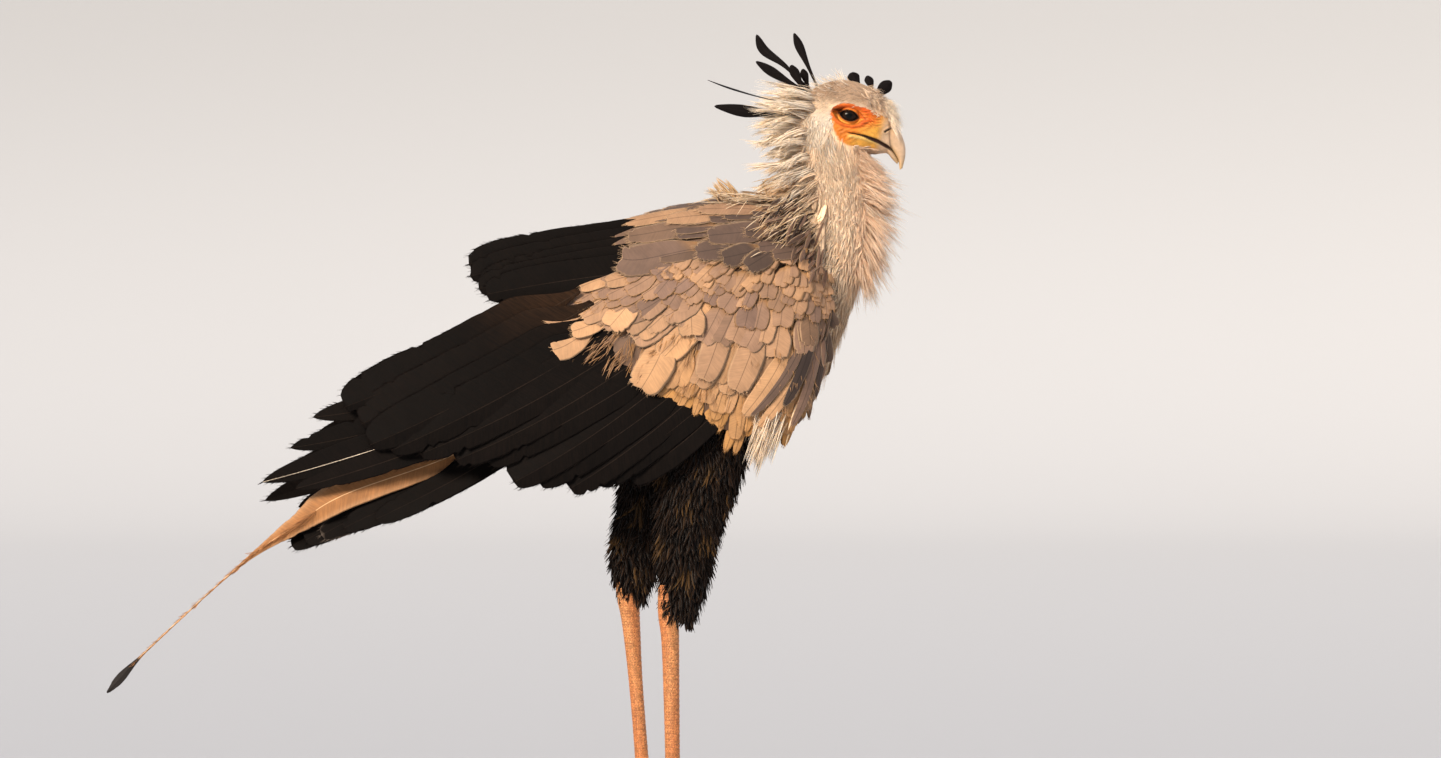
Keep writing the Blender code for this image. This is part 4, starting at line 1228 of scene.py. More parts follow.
def lie(surface, u, v, way, length, s, sink, lift, flip=1, power=1.3, sway=0.0):
    """Shaft lines on a surface: each runs its way for its length, bends aside by sway mm, and rises from
    sink to lift mm above the skin as s to a power."""
    du, dv, side_slope = steps_on(surface, u, v, way, length, flip)
    bend = np.asarray(sway) / side_slope
    at_u = u[:, None] + du[:, None] * s
    at_v = v[:, None] + dv[:, None] * s + np.broadcast_to(bend, u.shape)[:, None] * s**2
    _, _, up = slopes(surface, at_u, at_v, flip)
    sink, lift = np.asarray(sink)[..., None], np.asarray(lift)[..., None]
    rise = sink + (lift - sink) * s**power
    return surface(at_u, at_v) + up * rise[..., None], up


def lancet(s):
    """The outline of a small pointed feather: widest at two fifths, then tapering to a point."""
    return np.maximum((s + 0.06) ** 0.5 * (1 - s) ** 0.62 * 1.75, 0.05)


def paddle(s):
    """The outline of a broad feather: narrow at the root, straight sides, and a rounded end."""
    return np.maximum((0.42 + 0.58 * smooth(s, 0, 0.4)) * np.sqrt(np.maximum(1 - s**6, 0)), 0.05)


def oval(s):
    """The outline of a short body feather: broadest at two thirds and round at the end."""
    return np.maximum((0.3 + 0.7 * smooth(s, 0, 0.6)) * np.maximum(1 - s**4, 0) ** 0.6, 0.05)


def tilted(up, path, angle):
    """up turned about the shaft by each feather's angle, so that one edge of the vane stands higher."""
    way = unit(np.gradient(path, axis=1))
    return up * np.cos(angle)[:, None, None] + np.cross(way, up) * np.sin(angle)[:, None, None]


def rows_of(count, crowd=1.0):
    """Shares of the way from root to tip, closer together near the tip when crowd is above 1."""
    return 1 - (1 - np.linspace(0, 1, count)) ** crowd


def place_in(u, v, u_range, v_range):
    """Roots as places on the OFBake map: their shares of the way along u and v."""
    shares = [(at - low) / (high - low) for at, (low, high) in ((u, u_range), (v, v_range))]
    return np.clip(stacked(*shares), 0, 1) * 0.985 + 0.005


def ragged(rng, half, wander, nicks):
    """Half widths (n, rows, 2) with worn edges: a slow wandering in and out, and on a share nicks of the
    rows a cut between the barbs, deeper towards the tip."""
    half = two_sided(half)
    walk = np.cumsum(rng.normal(0, wander, half.shape), axis=1)
    walk = walk - walk.mean(1, keepdims=True)
    late = smooth(np.linspace(0, 1, half.shape[1]), 0.3, 0.9)[:, None]
    cut = (rng.random(half.shape) < nicks) * rng.uniform(0.08, 0.34, half.shape) * late
    return half * np.clip(1 + walk, 0.75, 1.08) * (1 - cut)


def fringe(feathers, each, start, length, half, seed):
    """Loose barbs from random places on the edges of feathers, beyond the share start of their length:
    they run forwards and outwards, and turn more forwards on their way."""
    rng = default_rng(seed)
    n, rows, ring = feathers["shape"]
    grid = feathers["points"].reshape(n, rows, ring, 3)
    total = n * each
    k = np.repeat(np.arange(n), each)
    first = int(start * (rows - 1))
    row = first + (rng.random(total) ** 0.7 * (rows - first)).astype(int)
    across = feathers["across"]
    middle = np.argmin(np.abs(across))
    col = np.where(rng.random(total) < 0.5, np.argmin(across), np.argmax(across))
    root = grid[k, row, col]
    way = unit(grid[k, row, middle] - grid[k, row - 1, middle])
    out = unit(root - grid[k, row, middle] + way * 1e-3)
    out = unit(out - way * (out * way).sum(-1, keepdims=True) + 1e-6)
    reach = length * rng.uniform(0.4, 1.2, total)[:, None, None]
    t = np.linspace(0, 1, 3)
    aim = unit(way + out * rng.uniform(0.05, 0.45, (total, 1)) + rng.normal(0, 0.12, (total, 3)))
    path = shaft_lines(root - way - out * 0.8, aim, reach, way[:, None] * 0.4, t)
    thin = half * (1 - 0.7 * t) * np.ones((total, 1))
    barbs = vanes(path, np.cross(out, way)[:, None], thin, crest=half * 0.5, camber=0)
    tone = feathers["tint"].reshape(n, rows, ring, 3)[k, row, col] * rng.uniform(0.8, 1.15, (total, 1))
    coloured(barbs, tone, tone, tone)
    barbs["reach"] = barbs["reach"] + 2
    return rooted(barbs, feathers["bake"].reshape(n, rows, ring, 2)[k, row, col], seed)


# %% [markdown]
# ## The coat of head, neck and trunk
#
# Small contour feathers cover the whole loft and lie from the bill towards
# the tail. They are shortest on the face's rim, hair-like on the crown, soft
# and narrow on the neck, and broader on breast and back. The coat is made in
# parts so that no mesh gets too heavy.

# %% Contour feathers
FINE = (-1.0, 0.0, 1.0)
MEDIUM = (-1.0, -0.6, 0.0, 0.6, 1.0)


def at_height(measure, p):
    """A measure at places p: straight lines between its (height, value) pairs, or one plain number."""
    return measure if np.isscalar(measure) else np.interp(p[..., 2], *np.array(measure, float).T)


def feathered(p):
    """Where feathers grow on the head: all but the bill and the bare face inside its soft edge."""
    bare = smooth(face_share(p[..., 0], p[..., 2]), 0.6, 0.98) * smooth(np.abs(p[..., 1]), 3, 8)
    return (1 - bare) * fall(p[..., 0], 476, 479)


def contour_coat(
        name, finish, count, u_range, v_range, seed, length, width, lift, rows=5, weight=None, shade=0.13,
        rim=None, across=FINE, outline=lancet, jitter=0.25, deep=0.7, tilt=0.25, surface=body, sink=-1.5):
    """Feathers over part of the body, coloured by place. Length, width, lift and shade go by height."""
    rng = default_rng(seed)
    u, v = spread(surface, count, u_range, v_range, seed, weight)
    root = surface(u, v)
    along, side_way, _ = slopes(surface, u, v)
    way = -unit(along) + unit(side_way) * rng.normal(0, jitter, count)[:, None]
    s = rows_of(rows, 1.25)
    long = at_height(length, root) * rng.uniform(0.75, 1.25, count)
    rise = at_height(lift, root) * rng.uniform(0.6, 1.5, count)
    path, up = lie(surface, u, v, way, long, s, sink, rise, sway=rng.normal(0, 0.12, count) * long)
    up = tilted(up, path, rng.normal(0, tilt, count))
    half = (at_height(width, root) * rng.uniform(0.75, 1.25, count))[:, None] / 2 * outline(s)
    half = ragged(rng, half, 0.03, 0.08)
    feathers = vanes(path, up, half, across, crest=0.08, camber=0.1)
    tone = 1 + rng.normal(0, 1, count) * at_height(shade, root)
    core = plumage(root) * np.clip(tone, 0.5, 1.3)[:, None]
    edge = core * 1.1 if rim is None else mix(core, rim, 0.6)
    coloured(feathers, core, edge, core * deep)
    rooted(feathers, place_in(u, v, u_range, v_range), seed)
    dress(name, [feathers], finish)


contour_coat(
    "coat_head", PALE, 6400, (12.4, 16.75), (0, 1), 11, [(885, 15), (925, 13), (950, 10), (985, 16)],
    [(885, 2.7), (930, 2.4), (980, 1.9)], [(885, 0.9), (925, 0.35), (950, 0.5), (985, 1.4)], rows=4,
    weight=feathered, shade=[(900, 0.04), (945, 0.04), (960, 0.12)], deep=1.0, jitter=0.16, tilt=0.04,
    surface=head_skin, sink=0.0)
contour_coat(
    "coat_neck_front", PALE, 4000, (8.0, 12.6), (0.25, 0.75), 12, [(780, 42), (860, 38), (900, 22)],
    [(780, 5.2), (860, 4.4), (900, 2.8)], [(780, 2.6), (860, 1.8), (890, 1.0)], rows=4, shade=0.05,
    deep=1.0, jitter=0.2, tilt=0.06)
contour_coat(
    "coat_neck_back", PALE, 4000, (8.0, 12.6), (-0.25, 0.25), 13, [(780, 42), (880, 38), (940, 24)],
    [(780, 5.2), (880, 4.2), (950, 2.8)], [(780, 2.8), (880, 2.0), (945, 1.4)], rows=4, shade=0.06,
    deep=1.0, jitter=0.22, tilt=0.08)
contour_coat(
    "coat_breast", PALE, 3100, (5.0, 8.6), (0.2, 0.8), 14, [(560, 40), (760, 42)], [(560, 8), (760, 4.5)],
    [(560, 5), (680, 3), (760, 4)], rows=4, shade=0.08, rim=CREAM, deep=0.9, tilt=0.12)
contour_coat(
    "coat_mantle", GREY, 1200, (3.2, 8.6), (-0.22, 0.22), 15, [(760, 52), (830, 44), (860, 34)],
    [(760, 20), (830, 14), (860, 8)], [(760, 8), (860, 10)], rows=5, rim=BUFF, across=MEDIUM, shade=0.22)
contour_coat(
    "coat_belly", DARK, 1300, (0.2, 5.3), (0.2, 0.8), 16, [(510, 36), (640, 38)], [(510, 16), (640, 17)],
    [(510, 8), (640, 8)], rows=4)
contour_coat(
    "coat_rump", DARK, 500, (0.2, 3.4), (-0.22, 0.22), 17, [(650, 44), (760, 44)], [(650, 20), (760, 20)],
    [(650, 6), (760, 7)], rows=4, across=MEDIUM, outline=paddle)

# %% [markdown]
# ## Loose locks
#
# At the nape, the throat and over the bill the feathers are so loose that
# they look like hair. They grow in little locks: the strands of a lock start
# a few millimetres apart and run together at its tip. A lock stands off the
# neck on a line of its own and droops under its weight.

# %% Locks of strands
def locks(
        surface, count, each, u_range, v_range, seed, aim, length, half, colour, droop=(0, 0, -0.15),
        gather=0.8, root_spread=2.6, loose=1.2, rows=5, weight=None, flip=1, start=0.0):
    """Each strand runs straight from its root to near its lock's tip, plus a droop by the way squared."""
    rng = default_rng(seed)
    u, v = spread(surface, count, u_range, v_range, seed, weight)
    centre = surface(u, v)
    along, across, up = slopes(surface, u, v, flip)
    way = unit(aim(centre, -unit(along), up) + rng.normal(0, 0.13, (count, 3)))
    long = length * rng.uniform(0.6, 1.15, count)
    lock = np.repeat(np.arange(count), each)
    n = count * each
    root = centre[lock] + unit(along[lock]) * rng.normal(0, root_spread, (n, 1))
    root = root + unit(across[lock]) * rng.normal(0, root_spread, (n, 1)) + up[lock] * start
    tip = (centre + way * long[:, None])[lock] + rng.normal(0, loose, (n, 3))
    reach = root * (1 - gather) + centre[lock] * gather - root + tip - centre[lock]
    reach = reach * rng.uniform(0.7, 1.05, (n, 1))
    bend = (np.array(droop) + rng.normal(0, 0.08, (count, 3)))[lock] + rng.normal(0, 0.05, (n, 3))
    s = np.linspace(0, 1, rows)
    path = shaft_lines(root, reach, 1, (bend * long[lock][:, None])[:, None], s)
    facing = unit(up[lock] + rng.normal(0, 0.2, (n, 3)))
    wide = (half * rng.uniform(0.6, 1.4, n))[:, None] * lancet(s)
    strands = vanes(path, facing[:, None], wide, crest=0.12, camber=0.05)
    tone = (1 + rng.normal(0, 0.07, count))[lock] * (1 + rng.normal(0, 0.06, n))
    core = colour(centre)[lock] * np.clip(tone, 0.6, 1.3)[:, None]
    coloured(strands, core, core * 1.08, core * 0.93)
    place = place_in(u, v, u_range, v_range)[lock] + rng.uniform(0, 0.006, (n, 2))
    strands["reach"] = strands["reach"] + 2
    return rooted(strands, place, seed)


def nape_aim(p, back, up):
    """Straight back from the nape, upwards behind the crown and a little down below."""
    rise = np.interp(p[..., 2], [840, 880, 930, 965], [-0.5, -0.16, 0.14, 0.55])
    return stacked(-1.0, up[..., 1] * 0.75, rise)


def throat_aim(p, back, up):
    """Out of the throat, forwards at its top and more and more downwards towards the breast."""
    heights = [730, 780, 830, 880]
    drop = np.interp(p[..., 2], heights, [-1.5, -1.0, -0.35, -0.6])
    out = np.interp(p[..., 2], heights, [0.25, 0.5, 0.95, 1.1])
    return up * out[..., None] + stacked(0.3 * out, 0.0, drop)


def drooping(p, back, up):
    """Along the neck and a little out of it."""
    return back + up * 0.2


def whitish(p):
    """Nearly white everywhere."""
    return mix(CREAM, WHITE, 0.85 + 0 * p[..., 0])


def throat_colour(p):
    """Warm cream, more or less whitened by a sine of the height."""
    return mix(WARM_CREAM, WHITE, 0.35 + 0.2 * np.sin(p[..., 2] * 0.4))


def out_of_nape(p, back, up):
    """Half out of the neck, half along it."""
    return back * 0.9 + up


def along_breast(p, back, up):
    """Along the breast, nearly flat on it."""
    return back + up * 0.06


NAPE_LOCKS = [
    # locks, strands in each, u from and to, v from and to, seed, aim, length, half width, colour, more
    (72, 24, (8.6, 12.9), (-0.16, 0.16), 21, nape_aim, 60, 0.85, whitish, (0, 0, -0.15), 0.97, 2.8, 0.4),
    (120, 8, (7.2, 9.4), (-0.19, 0.19), 22, nape_aim, 32, 0.7, plumage, (0, 0, -0.3)),
    (60, 4, (12.4, 14.4), (-0.13, 0.13), 23, out_of_nape, 19, 0.4, whitish, (0, 0, 0)),
]
THROAT_LOCKS = [
    (150, 6, (10.9, 13.3), (0.42, 0.58), 24, throat_aim, 28, 0.4, throat_colour, (0.1, 0, -0.3)),
    (310, 6, (7.4, 10.9), (0.38, 0.62), 25, throat_aim, 44, 0.5, throat_colour, (0.05, 0, -0.22)),
    (160, 5, (7.4, 12.2), (0.12, 0.88), 26, drooping, 26, 0.4, plumage),
    (130, 6, (5.8, 7.6), (0.36, 0.64), 20, along_breast, 36, 0.5, plumage)]
for name, table in (("coat_nape", NAPE_LOCKS), ("coat_throat", THROAT_LOCKS)):
    dress(name, [locks(body, *row) for row in table], PALE)

# %% Forehead, lores and lashes
def forehead_colour(p):
    """Grey brown streaks over the lores, white right over the bill."""
    streak = 0.5 + 0.5 * np.sin(p[..., 0] * 2.1 + p[..., 1] * 1.7)
    return mix(mix(paint(190, 162, 140), CREAM, streak), WHITE, smooth(p[..., 0], 468, 473))


def lore_aim(p, back, up):
    """Down over the lores, a little forwards and sideways."""
    out = np.sign(p[..., 1]) * 0.4
    return stacked(0.35, out, -0.85) + up * 0.3


def puff_aim(p, back, up):
    """Forwards over the bill, fanning out sideways and upwards."""
    return stacked(1.0, p[..., 1] * 0.06, 0.05 + (p[..., 2] - 945) * 0.02)


FOREHEAD_LOCKS = [
    (
        120, 5, (14.8, 16.3), (-0.18, 0.18), 27, lore_aim, 12, 0.5, forehead_colour, (0, 0, -0.15), 0.8,
        1.5, 1.2, 5, feathered),
    (70, 6, (15.2, 16.2), (-0.2, 0.2), 29, puff_aim, 13, 0.4, forehead_colour, (-0.1, 0, -0.5), 0.4, 2.0),
    (90, 7, (16.1, 16.8), (-0.2, 0.2), 28, puff_aim, 19, 0.4, whitish, (-0.15, 0, -0.5), 0.3, 2.0)]
dress("coat_forehead", [locks(body, *row) for row in FOREHEAD_LOCKS], PALE)


def lashes(side):
    """Stiff dark lashes along the upper lid: each root sits on the lid's edge and curves out and back."""
    rng = default_rng(31)
    turn = np.linspace(np.radians(35), np.radians(178), 22)
    p, q = 10.8 * np.cos(turn), 6.6 * np.sin(turn)
    x = EYE[0] + p * np.cos(LID_TILT) - q * np.sin(LID_TILT)
    z = EYE[2] + q * np.cos(LID_TILT) + p * np.sin(LID_TILT)
    depth = np.sqrt(np.clip(1 - ((x - EYE[0]) / 12.4) ** 2 - ((z - EYE[2]) / 11.1) ** 2, 0, 1))
    root = stacked(x, side * (EYE[1] + 11.5 * depth + 0.2), z)
    way = stacked(-0.55 + 0.3 * np.cos(turn), 0.75 * side, 0.25 * np.sin(turn))
    way = unit(way + rng.normal(0, 0.06, (22, 3)))
    long = rng.uniform(2.0, 3.6, 22)[:, None, None]
    s = np.linspace(0, 1, 7)
    path = shaft_lines(root, way, long, np.array([-0.35, 0, 0.1]), s)
    thin = 0.24 * (1 - 0.8 * s) * np.ones((22, 1))
    hairs = vanes(path, [0.0, 0.0, 1.0], thin, crest=0.25, camber=0)
    coloured(hairs, *[paint(24, 16, 14)] * 3)
    return rooted(hairs, stacked(turn / 4, 0.3 + 0.2 * side), 32)


dress("lashes", [lashes(side) for side in SIDES.values()], DARK)

# %% [markdown]
# ## Wing coverts
#
# The folded wing is roofed in rows. Nearest the shoulder lie small rounded
# scales, then broader median coverts, and last the long greater coverts,
# whose round ends hang over the black flight feathers. They point straight
# down at the wing's front and more and more backwards towards its rear. Each
# is placed by where its tip should be: its root is found by walking back
# along the sheet by its own length. Tan down fills the gaps between them.

# %% Broad feathers
BROAD = (-1.0, -0.84, -0.45, 0.0, 0.45, 0.84, 1.0)


def broad_feathers(
        surface, s, t, way, length, width, lift, colours, seed, flip, sink=-1.0, rows=13,
        worn=(0.012, 0.04), roll=0.07, sway=0.0, outline=paddle, across=BROAD, rim_from=0.86, thick=0.3):
    """Broad feathers with their roots at s, t on a sheet. colours are those of core, rim and root."""
    rng = default_rng(seed)
    n = len(s)
    steps = rows_of(rows, 1.5)
    sway = (sway + rng.normal(0, 0.05, n)) * length
    path, up = lie(surface, s, t, way, length, steps, sink, lift, flip, 1.1, sway)
    up = tilted(up, path, (rng.normal(roll, 0.05, n)) * -flip)
    half = ragged(rng, (width / 2)[:, None] * outline(steps), *worn)
    feathers = vanes(path, up, half, across, crest=thick, camber=0.08, under=thick, slant=0.55)
    coloured(feathers, *colours, rim_from=rim_from, root_to=0.3, tip_from=0.92)
    return feathers


def nearest(surface, x, z, last):
    """The place on a sheet closest to x, z when seen from the side, among a fine net of places."""
    s, t = (g.ravel() for g in net(np.linspace(-0.1, 1.1, 121), np.linspace(-0.2, last + 0.2, 161)))
    p = surface(s, t)
    best = np.argmin((p[:, 0] - x[:, None]) ** 2 + (p[:, 2] - z[:, None]) ** 2, axis=1)
    return s[best], t[best]


def singled_out(surface, last, table, lift, colours, seed, flip, **more):
    """Feathers one by one, from a table of root x, z, tip x, z, width and a curve to the side."""
    table = np.array(table, float)
    s, t = nearest(surface, table[:, 0], table[:, 1], last)
    way = stacked(table[:, 2] - table[:, 0], 0.0, table[:, 3] - table[:, 1])
    length = np.linalg.norm(way, axis=-1)
    feathers = broad_feathers(
        surface, s, t, unit(way), length, table[:, 4], lift, colours, seed, flip, sway=table[:, 5], **more)
    return rooted(feathers, place_in(s, t, (0, 1), (0, last)) * 0.94, seed, (0.03, 0.03))


# %% Rows of coverts
def covert_way(s, t):
    """Straight down at the wing's front, turning backwards to the rear, and more so at the top."""
    slant = np.radians(np.interp(t, [0, 1, 2.5, 4, 6], [0, 5, 18, 36, 54]) + 12 * (0.5 - s))
    return stacked(-np.sin(slant), 0.0, -np.cos(slant))


def covert_colours(rng, n, buff, dark, rim, spread_of_tone=0.07):
    """Core, rim and root of n coverts: mauve grey turning buff by buff and slate by dark, each feather a
    little different, with rims of the given paint."""
    buff = buff + rng.normal(0, 0.18, n)
    core = layered(
        MAUVE, (PINK_BUFF, np.clip(buff, 0, 1)), (TAN, np.clip(buff - 1, 0, 1)),
        (SLATE, np.clip(dark + 0 * rng.random(n), 0, 1)))
    core = core * np.clip(1 + rng.normal(0, spread_of_tone, n), 0.75, 1.25)[:, None]
    return core, mix(core, rim, 0.55), mix(core, TAN, 0.7) * 0.8


GOLD, PALE_RIM, PINK_BUFF = paint(202, 150, 88), paint(214, 176, 136), paint(190, 147, 109)
COVERT_ROWS = [
    # tips' share of the way down, count, length, width, lift, buff share, outline, t from and to, rim
    (1.03, 19, 56, 15, 1.5, 1.9, oval, 0.9, 3.7, TAN),
    (0.95, 19, 58, 18, 2.4, 1.7, oval, 0.5, 3.7, TAN),
    (0.88, 15, 64, 26, 3.2, 1.3, paddle, 0.4, 3.6, TAN),
    (0.77, 12, 98, 38, 4.4, 1.0, paddle, 0.0, 3.9, PALE_RIM),
    (0.62, 8, 68, 33, 5.0, 0.6, paddle, 3.5, 6.1, PALE_RIM),
    (0.49, 20, 54, 31, 5.4, 0.4, paddle, -0.1, 6.2, PALE_RIM),
    (0.34, 19, 46, 30, 5.6, 0.2, paddle, -0.1, 6.2, GOLD),
    (0.24, 17, 34, 24, 5.6, 0.4, paddle, -0.1, 3.5, GOLD),
    (0.20, 10, 42, 29, 5.6, 0.2, paddle, 3.2, 6.2, GOLD),
    (0.16, 20, 27, 21, 5.5, 0.55, paddle, -0.1, 3.6, TAN),
    (0.09, 20, 25, 19, 5.4, 0.6, paddle, -0.1, 3.8, TAN),
    (0.02, 20, 25, 19, 5.2, 0.6, paddle, -0.1, 3.8, TAN),
    (0.06, 9, 38, 27, 5.3, 0.3, paddle, 3.4, 6.2, GOLD),
]


def covert_row(side, seed, tip, count, long, wide, lift, buff, outline, first, last, rim):
    """One row along the wing whose tips end at the share tip of the way down."""
    rng = default_rng(seed)
    sheet, small = wing(side), long < 30
    t = first + (np.arange(count) + rng.uniform(0.15, 0.85, count)) / count * (last - first)
    s = tip + rng.normal(0, 0.04, count)
    way = unit(covert_way(s, t) + rng.normal(0, 0.15 if small else 0.1, (count, 3)))
    narrow = np.interp(t, [0, 0.9, 4.5, 6], [0.6, 1.0, 1.0, 0.8])
    length = long * narrow**0.5 * rng.uniform(0.85, 1.15, count)
    ds, dt, _ = steps_on(sheet, s, t, -way, length)
    # painted shade: slate on the coverts at the wing's front, which faces away from the light
    dark = 0.85 * fall(t, 0.45, 1.0) * smooth(s, 0.3, 0.5) * (tip < 1)
    colours = covert_colours(rng, count, buff, dark, rim, 0.05 if small else 0.08)
    rows = int(np.clip(long / 3.2, 8, 26))
    wide = wide * narrow * rng.uniform(0.8, 1.18, count)
    height = lift + 0.2 * t + rng.uniform(-0.3, 0.5, count)
    feathers = broad_feathers(
        sheet, s + ds, t + dt, way, length, wide, height, colours, seed, side, rows=rows, outline=outline,
        sway=0.06, across=MEDIUM if small else BROAD, thick=0.1 if small else 0.2,
        sink=height - 1.6 - long / 34, roll=0.04, worn=(0.02, 0.12) if small else (0.012, 0.07))
    feathers["reach"] = feathers["reach"] * (4 if small else 1)
    rooted(feathers, place_in(s + ds, t + dt, (0, 1), (0, 6)) * 0.97, seed, (0.012, 0.012))
    return [feathers, fringe(feathers, 12 if small else 20, 0.6, 3.2, 0.24, seed)]


SHOWN_COVERTS = [
    (115, 680, 65, 616, 35, -0.03), (109, 697, 46, 668, 24, 0), (138, 690, 84, 654, 26, 0),
    (205, 668, 179, 590, 48, 0.03), (274, 692, 252, 600, 36, 0.04), (317, 680, 293, 592, 38, 0.08),
    (166, 716, 140, 661, 40, 0.05), (230, 708, 231, 660, 36, 0.02), (150, 742, 96, 716, 30, 0),
    (176, 742, 128, 722, 26, 0), (352, 655, 318, 566, 24, 0.14), (372, 650, 338, 560, 17, 0.16)]
FRONT_BLADES = [
    (384, 690, 341, 598, 16, 0.15), (392, 684, 355, 588, 16, 0.14), (372, 668, 328, 572, 15, 0.16),
    (398, 684, 374, 604, 12, 0.1)]


def wing_down(side, seed):
    """Loose tan and golden strands between and below the coverts."""
    def aim(p, back, up):
        t = np.interp(-p[..., 0], [-400, -50], [0, 6])
        return covert_way(np.full(len(t), 0.5), t) + up * 0.04 + np.sin(p * 1.3) * 0.16

    def colour(p):
        return mix(TAN, PINK_BUFF, 0.5 + 0.5 * np.sin(p[..., 0] * 0.3 + p[..., 2] * 0.23))

    return locks(
        wing(side), 180, 9, (0.1, 0.8), (0.3, 5.2), seed, aim, 25, 0.42, colour, (0, 0, -0.1), 0.3, 3.4,
        rows=4, flip=side, start=2.2, loose=3.0)


for side_name, side in SIDES.items():
    rng = default_rng(42)
    sheet = wing(side)
    batches = [batch for k, row in enumerate(COVERT_ROWS) for batch in covert_row(side, 60 + k, *row)]
    shown = covert_colours(rng, len(SHOWN_COVERTS), 0.9, 0, PALE_RIM)
    # painted shade: slate on most front blades, where the wing's front faces away from the light
    blades = covert_colours(rng, len(FRONT_BLADES), 0.2, np.array([1.0, 0.1, 0.6, 0.9]), PALE_RIM)
    batches.append(singled_out(sheet, 6, SHOWN_COVERTS, 9.5, shown, 44, side, rows=26, sink=2, roll=0.05))
    batches.append(singled_out(sheet, 6, FRONT_BLADES, 9.5, blades, 46, side, rows=26, sink=2, roll=0.25))
    batches += [fringe(batches[-2], 30, 0.7, 3.5, 0.22, 47), fringe(batches[-1], 30, 0.6, 3.5, 0.22, 48)]
    batches.append(wing_down(side, 45))
    dress("coat_coverts_" + side_name, batches, GREY)

# %% [markdown]
# ## Scapulars
#
# From the shoulder long mauve grey feathers run back over the wing's black
# ones. Their webs are loose at the ends, with pale rims and dark shafts.

# %% Scapulars
SHOWN_SCAPULARS = [
    (250, 770, 134, 752, 48, 0.0), (306, 776, 240, 756, 32, 0.02), (275, 800, 160, 790, 30, 0.02),
    (310, 812, 200, 814, 26, 0.0), (262, 818, 142, 806, 24, 0.0), (200, 812, 78, 794, 22, 0.0),
    (338, 792, 262, 780, 32, 0.05), (330, 815, 246, 822, 22, 0.0), (322, 770, 280, 752, 30, 0.1),
    (340, 770, 306, 744, 30, 0.1), (230, 800, 120, 782, 30, 0.0)]
for side_name, side in SIDES.items():
    rng = default_rng(51)
    sheet, count = shoulder(side), 45
    t = np.repeat(np.linspace(4.05, 0.3, 9), 5) + rng.uniform(-0.2, 0.2, count)
    s = np.tile(np.linspace(0.94, 0.04, 5), 9) + rng.uniform(-0.06, 0.06, count)
    way = stacked(-1.0, 0.0, -0.02 - 0.2 * s)
    length = np.interp(t, [0, 1.5, 4], [36, 66, 88]) * rng.uniform(0.85, 1.1, count)
    width = np.interp(t, [0, 1.5, 4], [18, 27, 32]) * rng.uniform(0.85, 1.1, count) * (0.6 + 0.4 * s)
    ds, dt, _ = steps_on(sheet, s, t, -way, length)
    colours = covert_colours(rng, count, np.clip(0.3 - 0.7 * s, 0, 1), 0.72, PALE_RIM)
    batch = broad_feathers(
        sheet, s + ds, t + dt, way, length, width, 3.0 + rng.uniform(-0.5, 2.0, count), colours, 52, side,
        rows=22, worn=(0.012, 0.16), rim_from=0.86)
    rooted(batch, place_in(s + ds, t + dt, (0, 1), (0, 4)) * 0.97, 52, (0.02, 0.02))
    dark = np.array([50, 62, 66, 20, 30, 25, 64, 15, 86, 90, 55]) / 100
    buff = np.array([10, 10, 20, 70, 80, 90, 10, 60, 10, 10, 20]) / 100
    colours = covert_colours(rng, len(SHOWN_SCAPULARS), buff, dark, PALE_RIM)
    shown = singled_out(
        sheet, 4, SHOWN_SCAPULARS, 8, colours, 53, side, rows=32, sink=1, worn=(0.012, 0.16),
        rim_from=0.88, roll=-0.05)
    loose = [fringe(batch, 30, 0.5, 4.5, 0.24, 54), fringe(shown, 70, 0.4, 5.0, 0.24, 55)]
    dress("coat_scapulars_" + side_name, [batch, shown] + loose, GREY)

# %% [markdown]
# ## Tufts that break the outline
#
# A live bird is never smooth. A white tuft hangs below the front of the wing, dark and tan feathers show
# between neck and wing, the dark ones standing partly for painted shade there, and a few mantle feathers
# stand up in the wind. They are lancets on lines of their own.

# %% Tufts
def tuft(side, centre, spread_mm, count, way, length, half, colours, seed, lean, rim=0.25):
    """Feathers from a small patch, given for the left side: straight lines with a droop, all leaning much
    the same way, with colours between two paints and paler rims."""
    rng = default_rng(seed)
    hair = half < 1.5
    centre, way = (np.array(v, float) * (1, side, 1) for v in (centre, way))
    root = centre + rng.normal(0, 1, (count, 3)) * np.array(spread_mm)
    aim = unit(unit(way) + rng.normal(0, lean, (count, 3)))
    long = (length * rng.uniform(0.55, 1.15, count))[:, None, None]
    s = rows_of(6, 1.2)
    path = shaft_lines(root, aim, long, np.array([0, 0, -0.1]), s)
    facing = unit(np.array([0.0, np.sign(centre[1]) or 1.0, 0.4]) + rng.normal(0, 0.35, (count, 3)))
    wide = ragged(rng, (half * rng.uniform(0.6, 1.3, count))[:, None] * lancet(s), 0.03, 0.15)
    feathers = vanes(path, facing[:, None], wide, FINE if hair else MEDIUM, 0.1 if hair else 0.2, 0.2)
    core = mix(*colours, rng.random(count))
    coloured(feathers, core, mix(core, PALE_RIM, rim), core * 0.8)
    feathers["reach"] = feathers["reach"] + (2 if half < 3 else 0)
    return rooted(feathers, rng.uniform(0.02, 0.97, (count, 2)), seed)


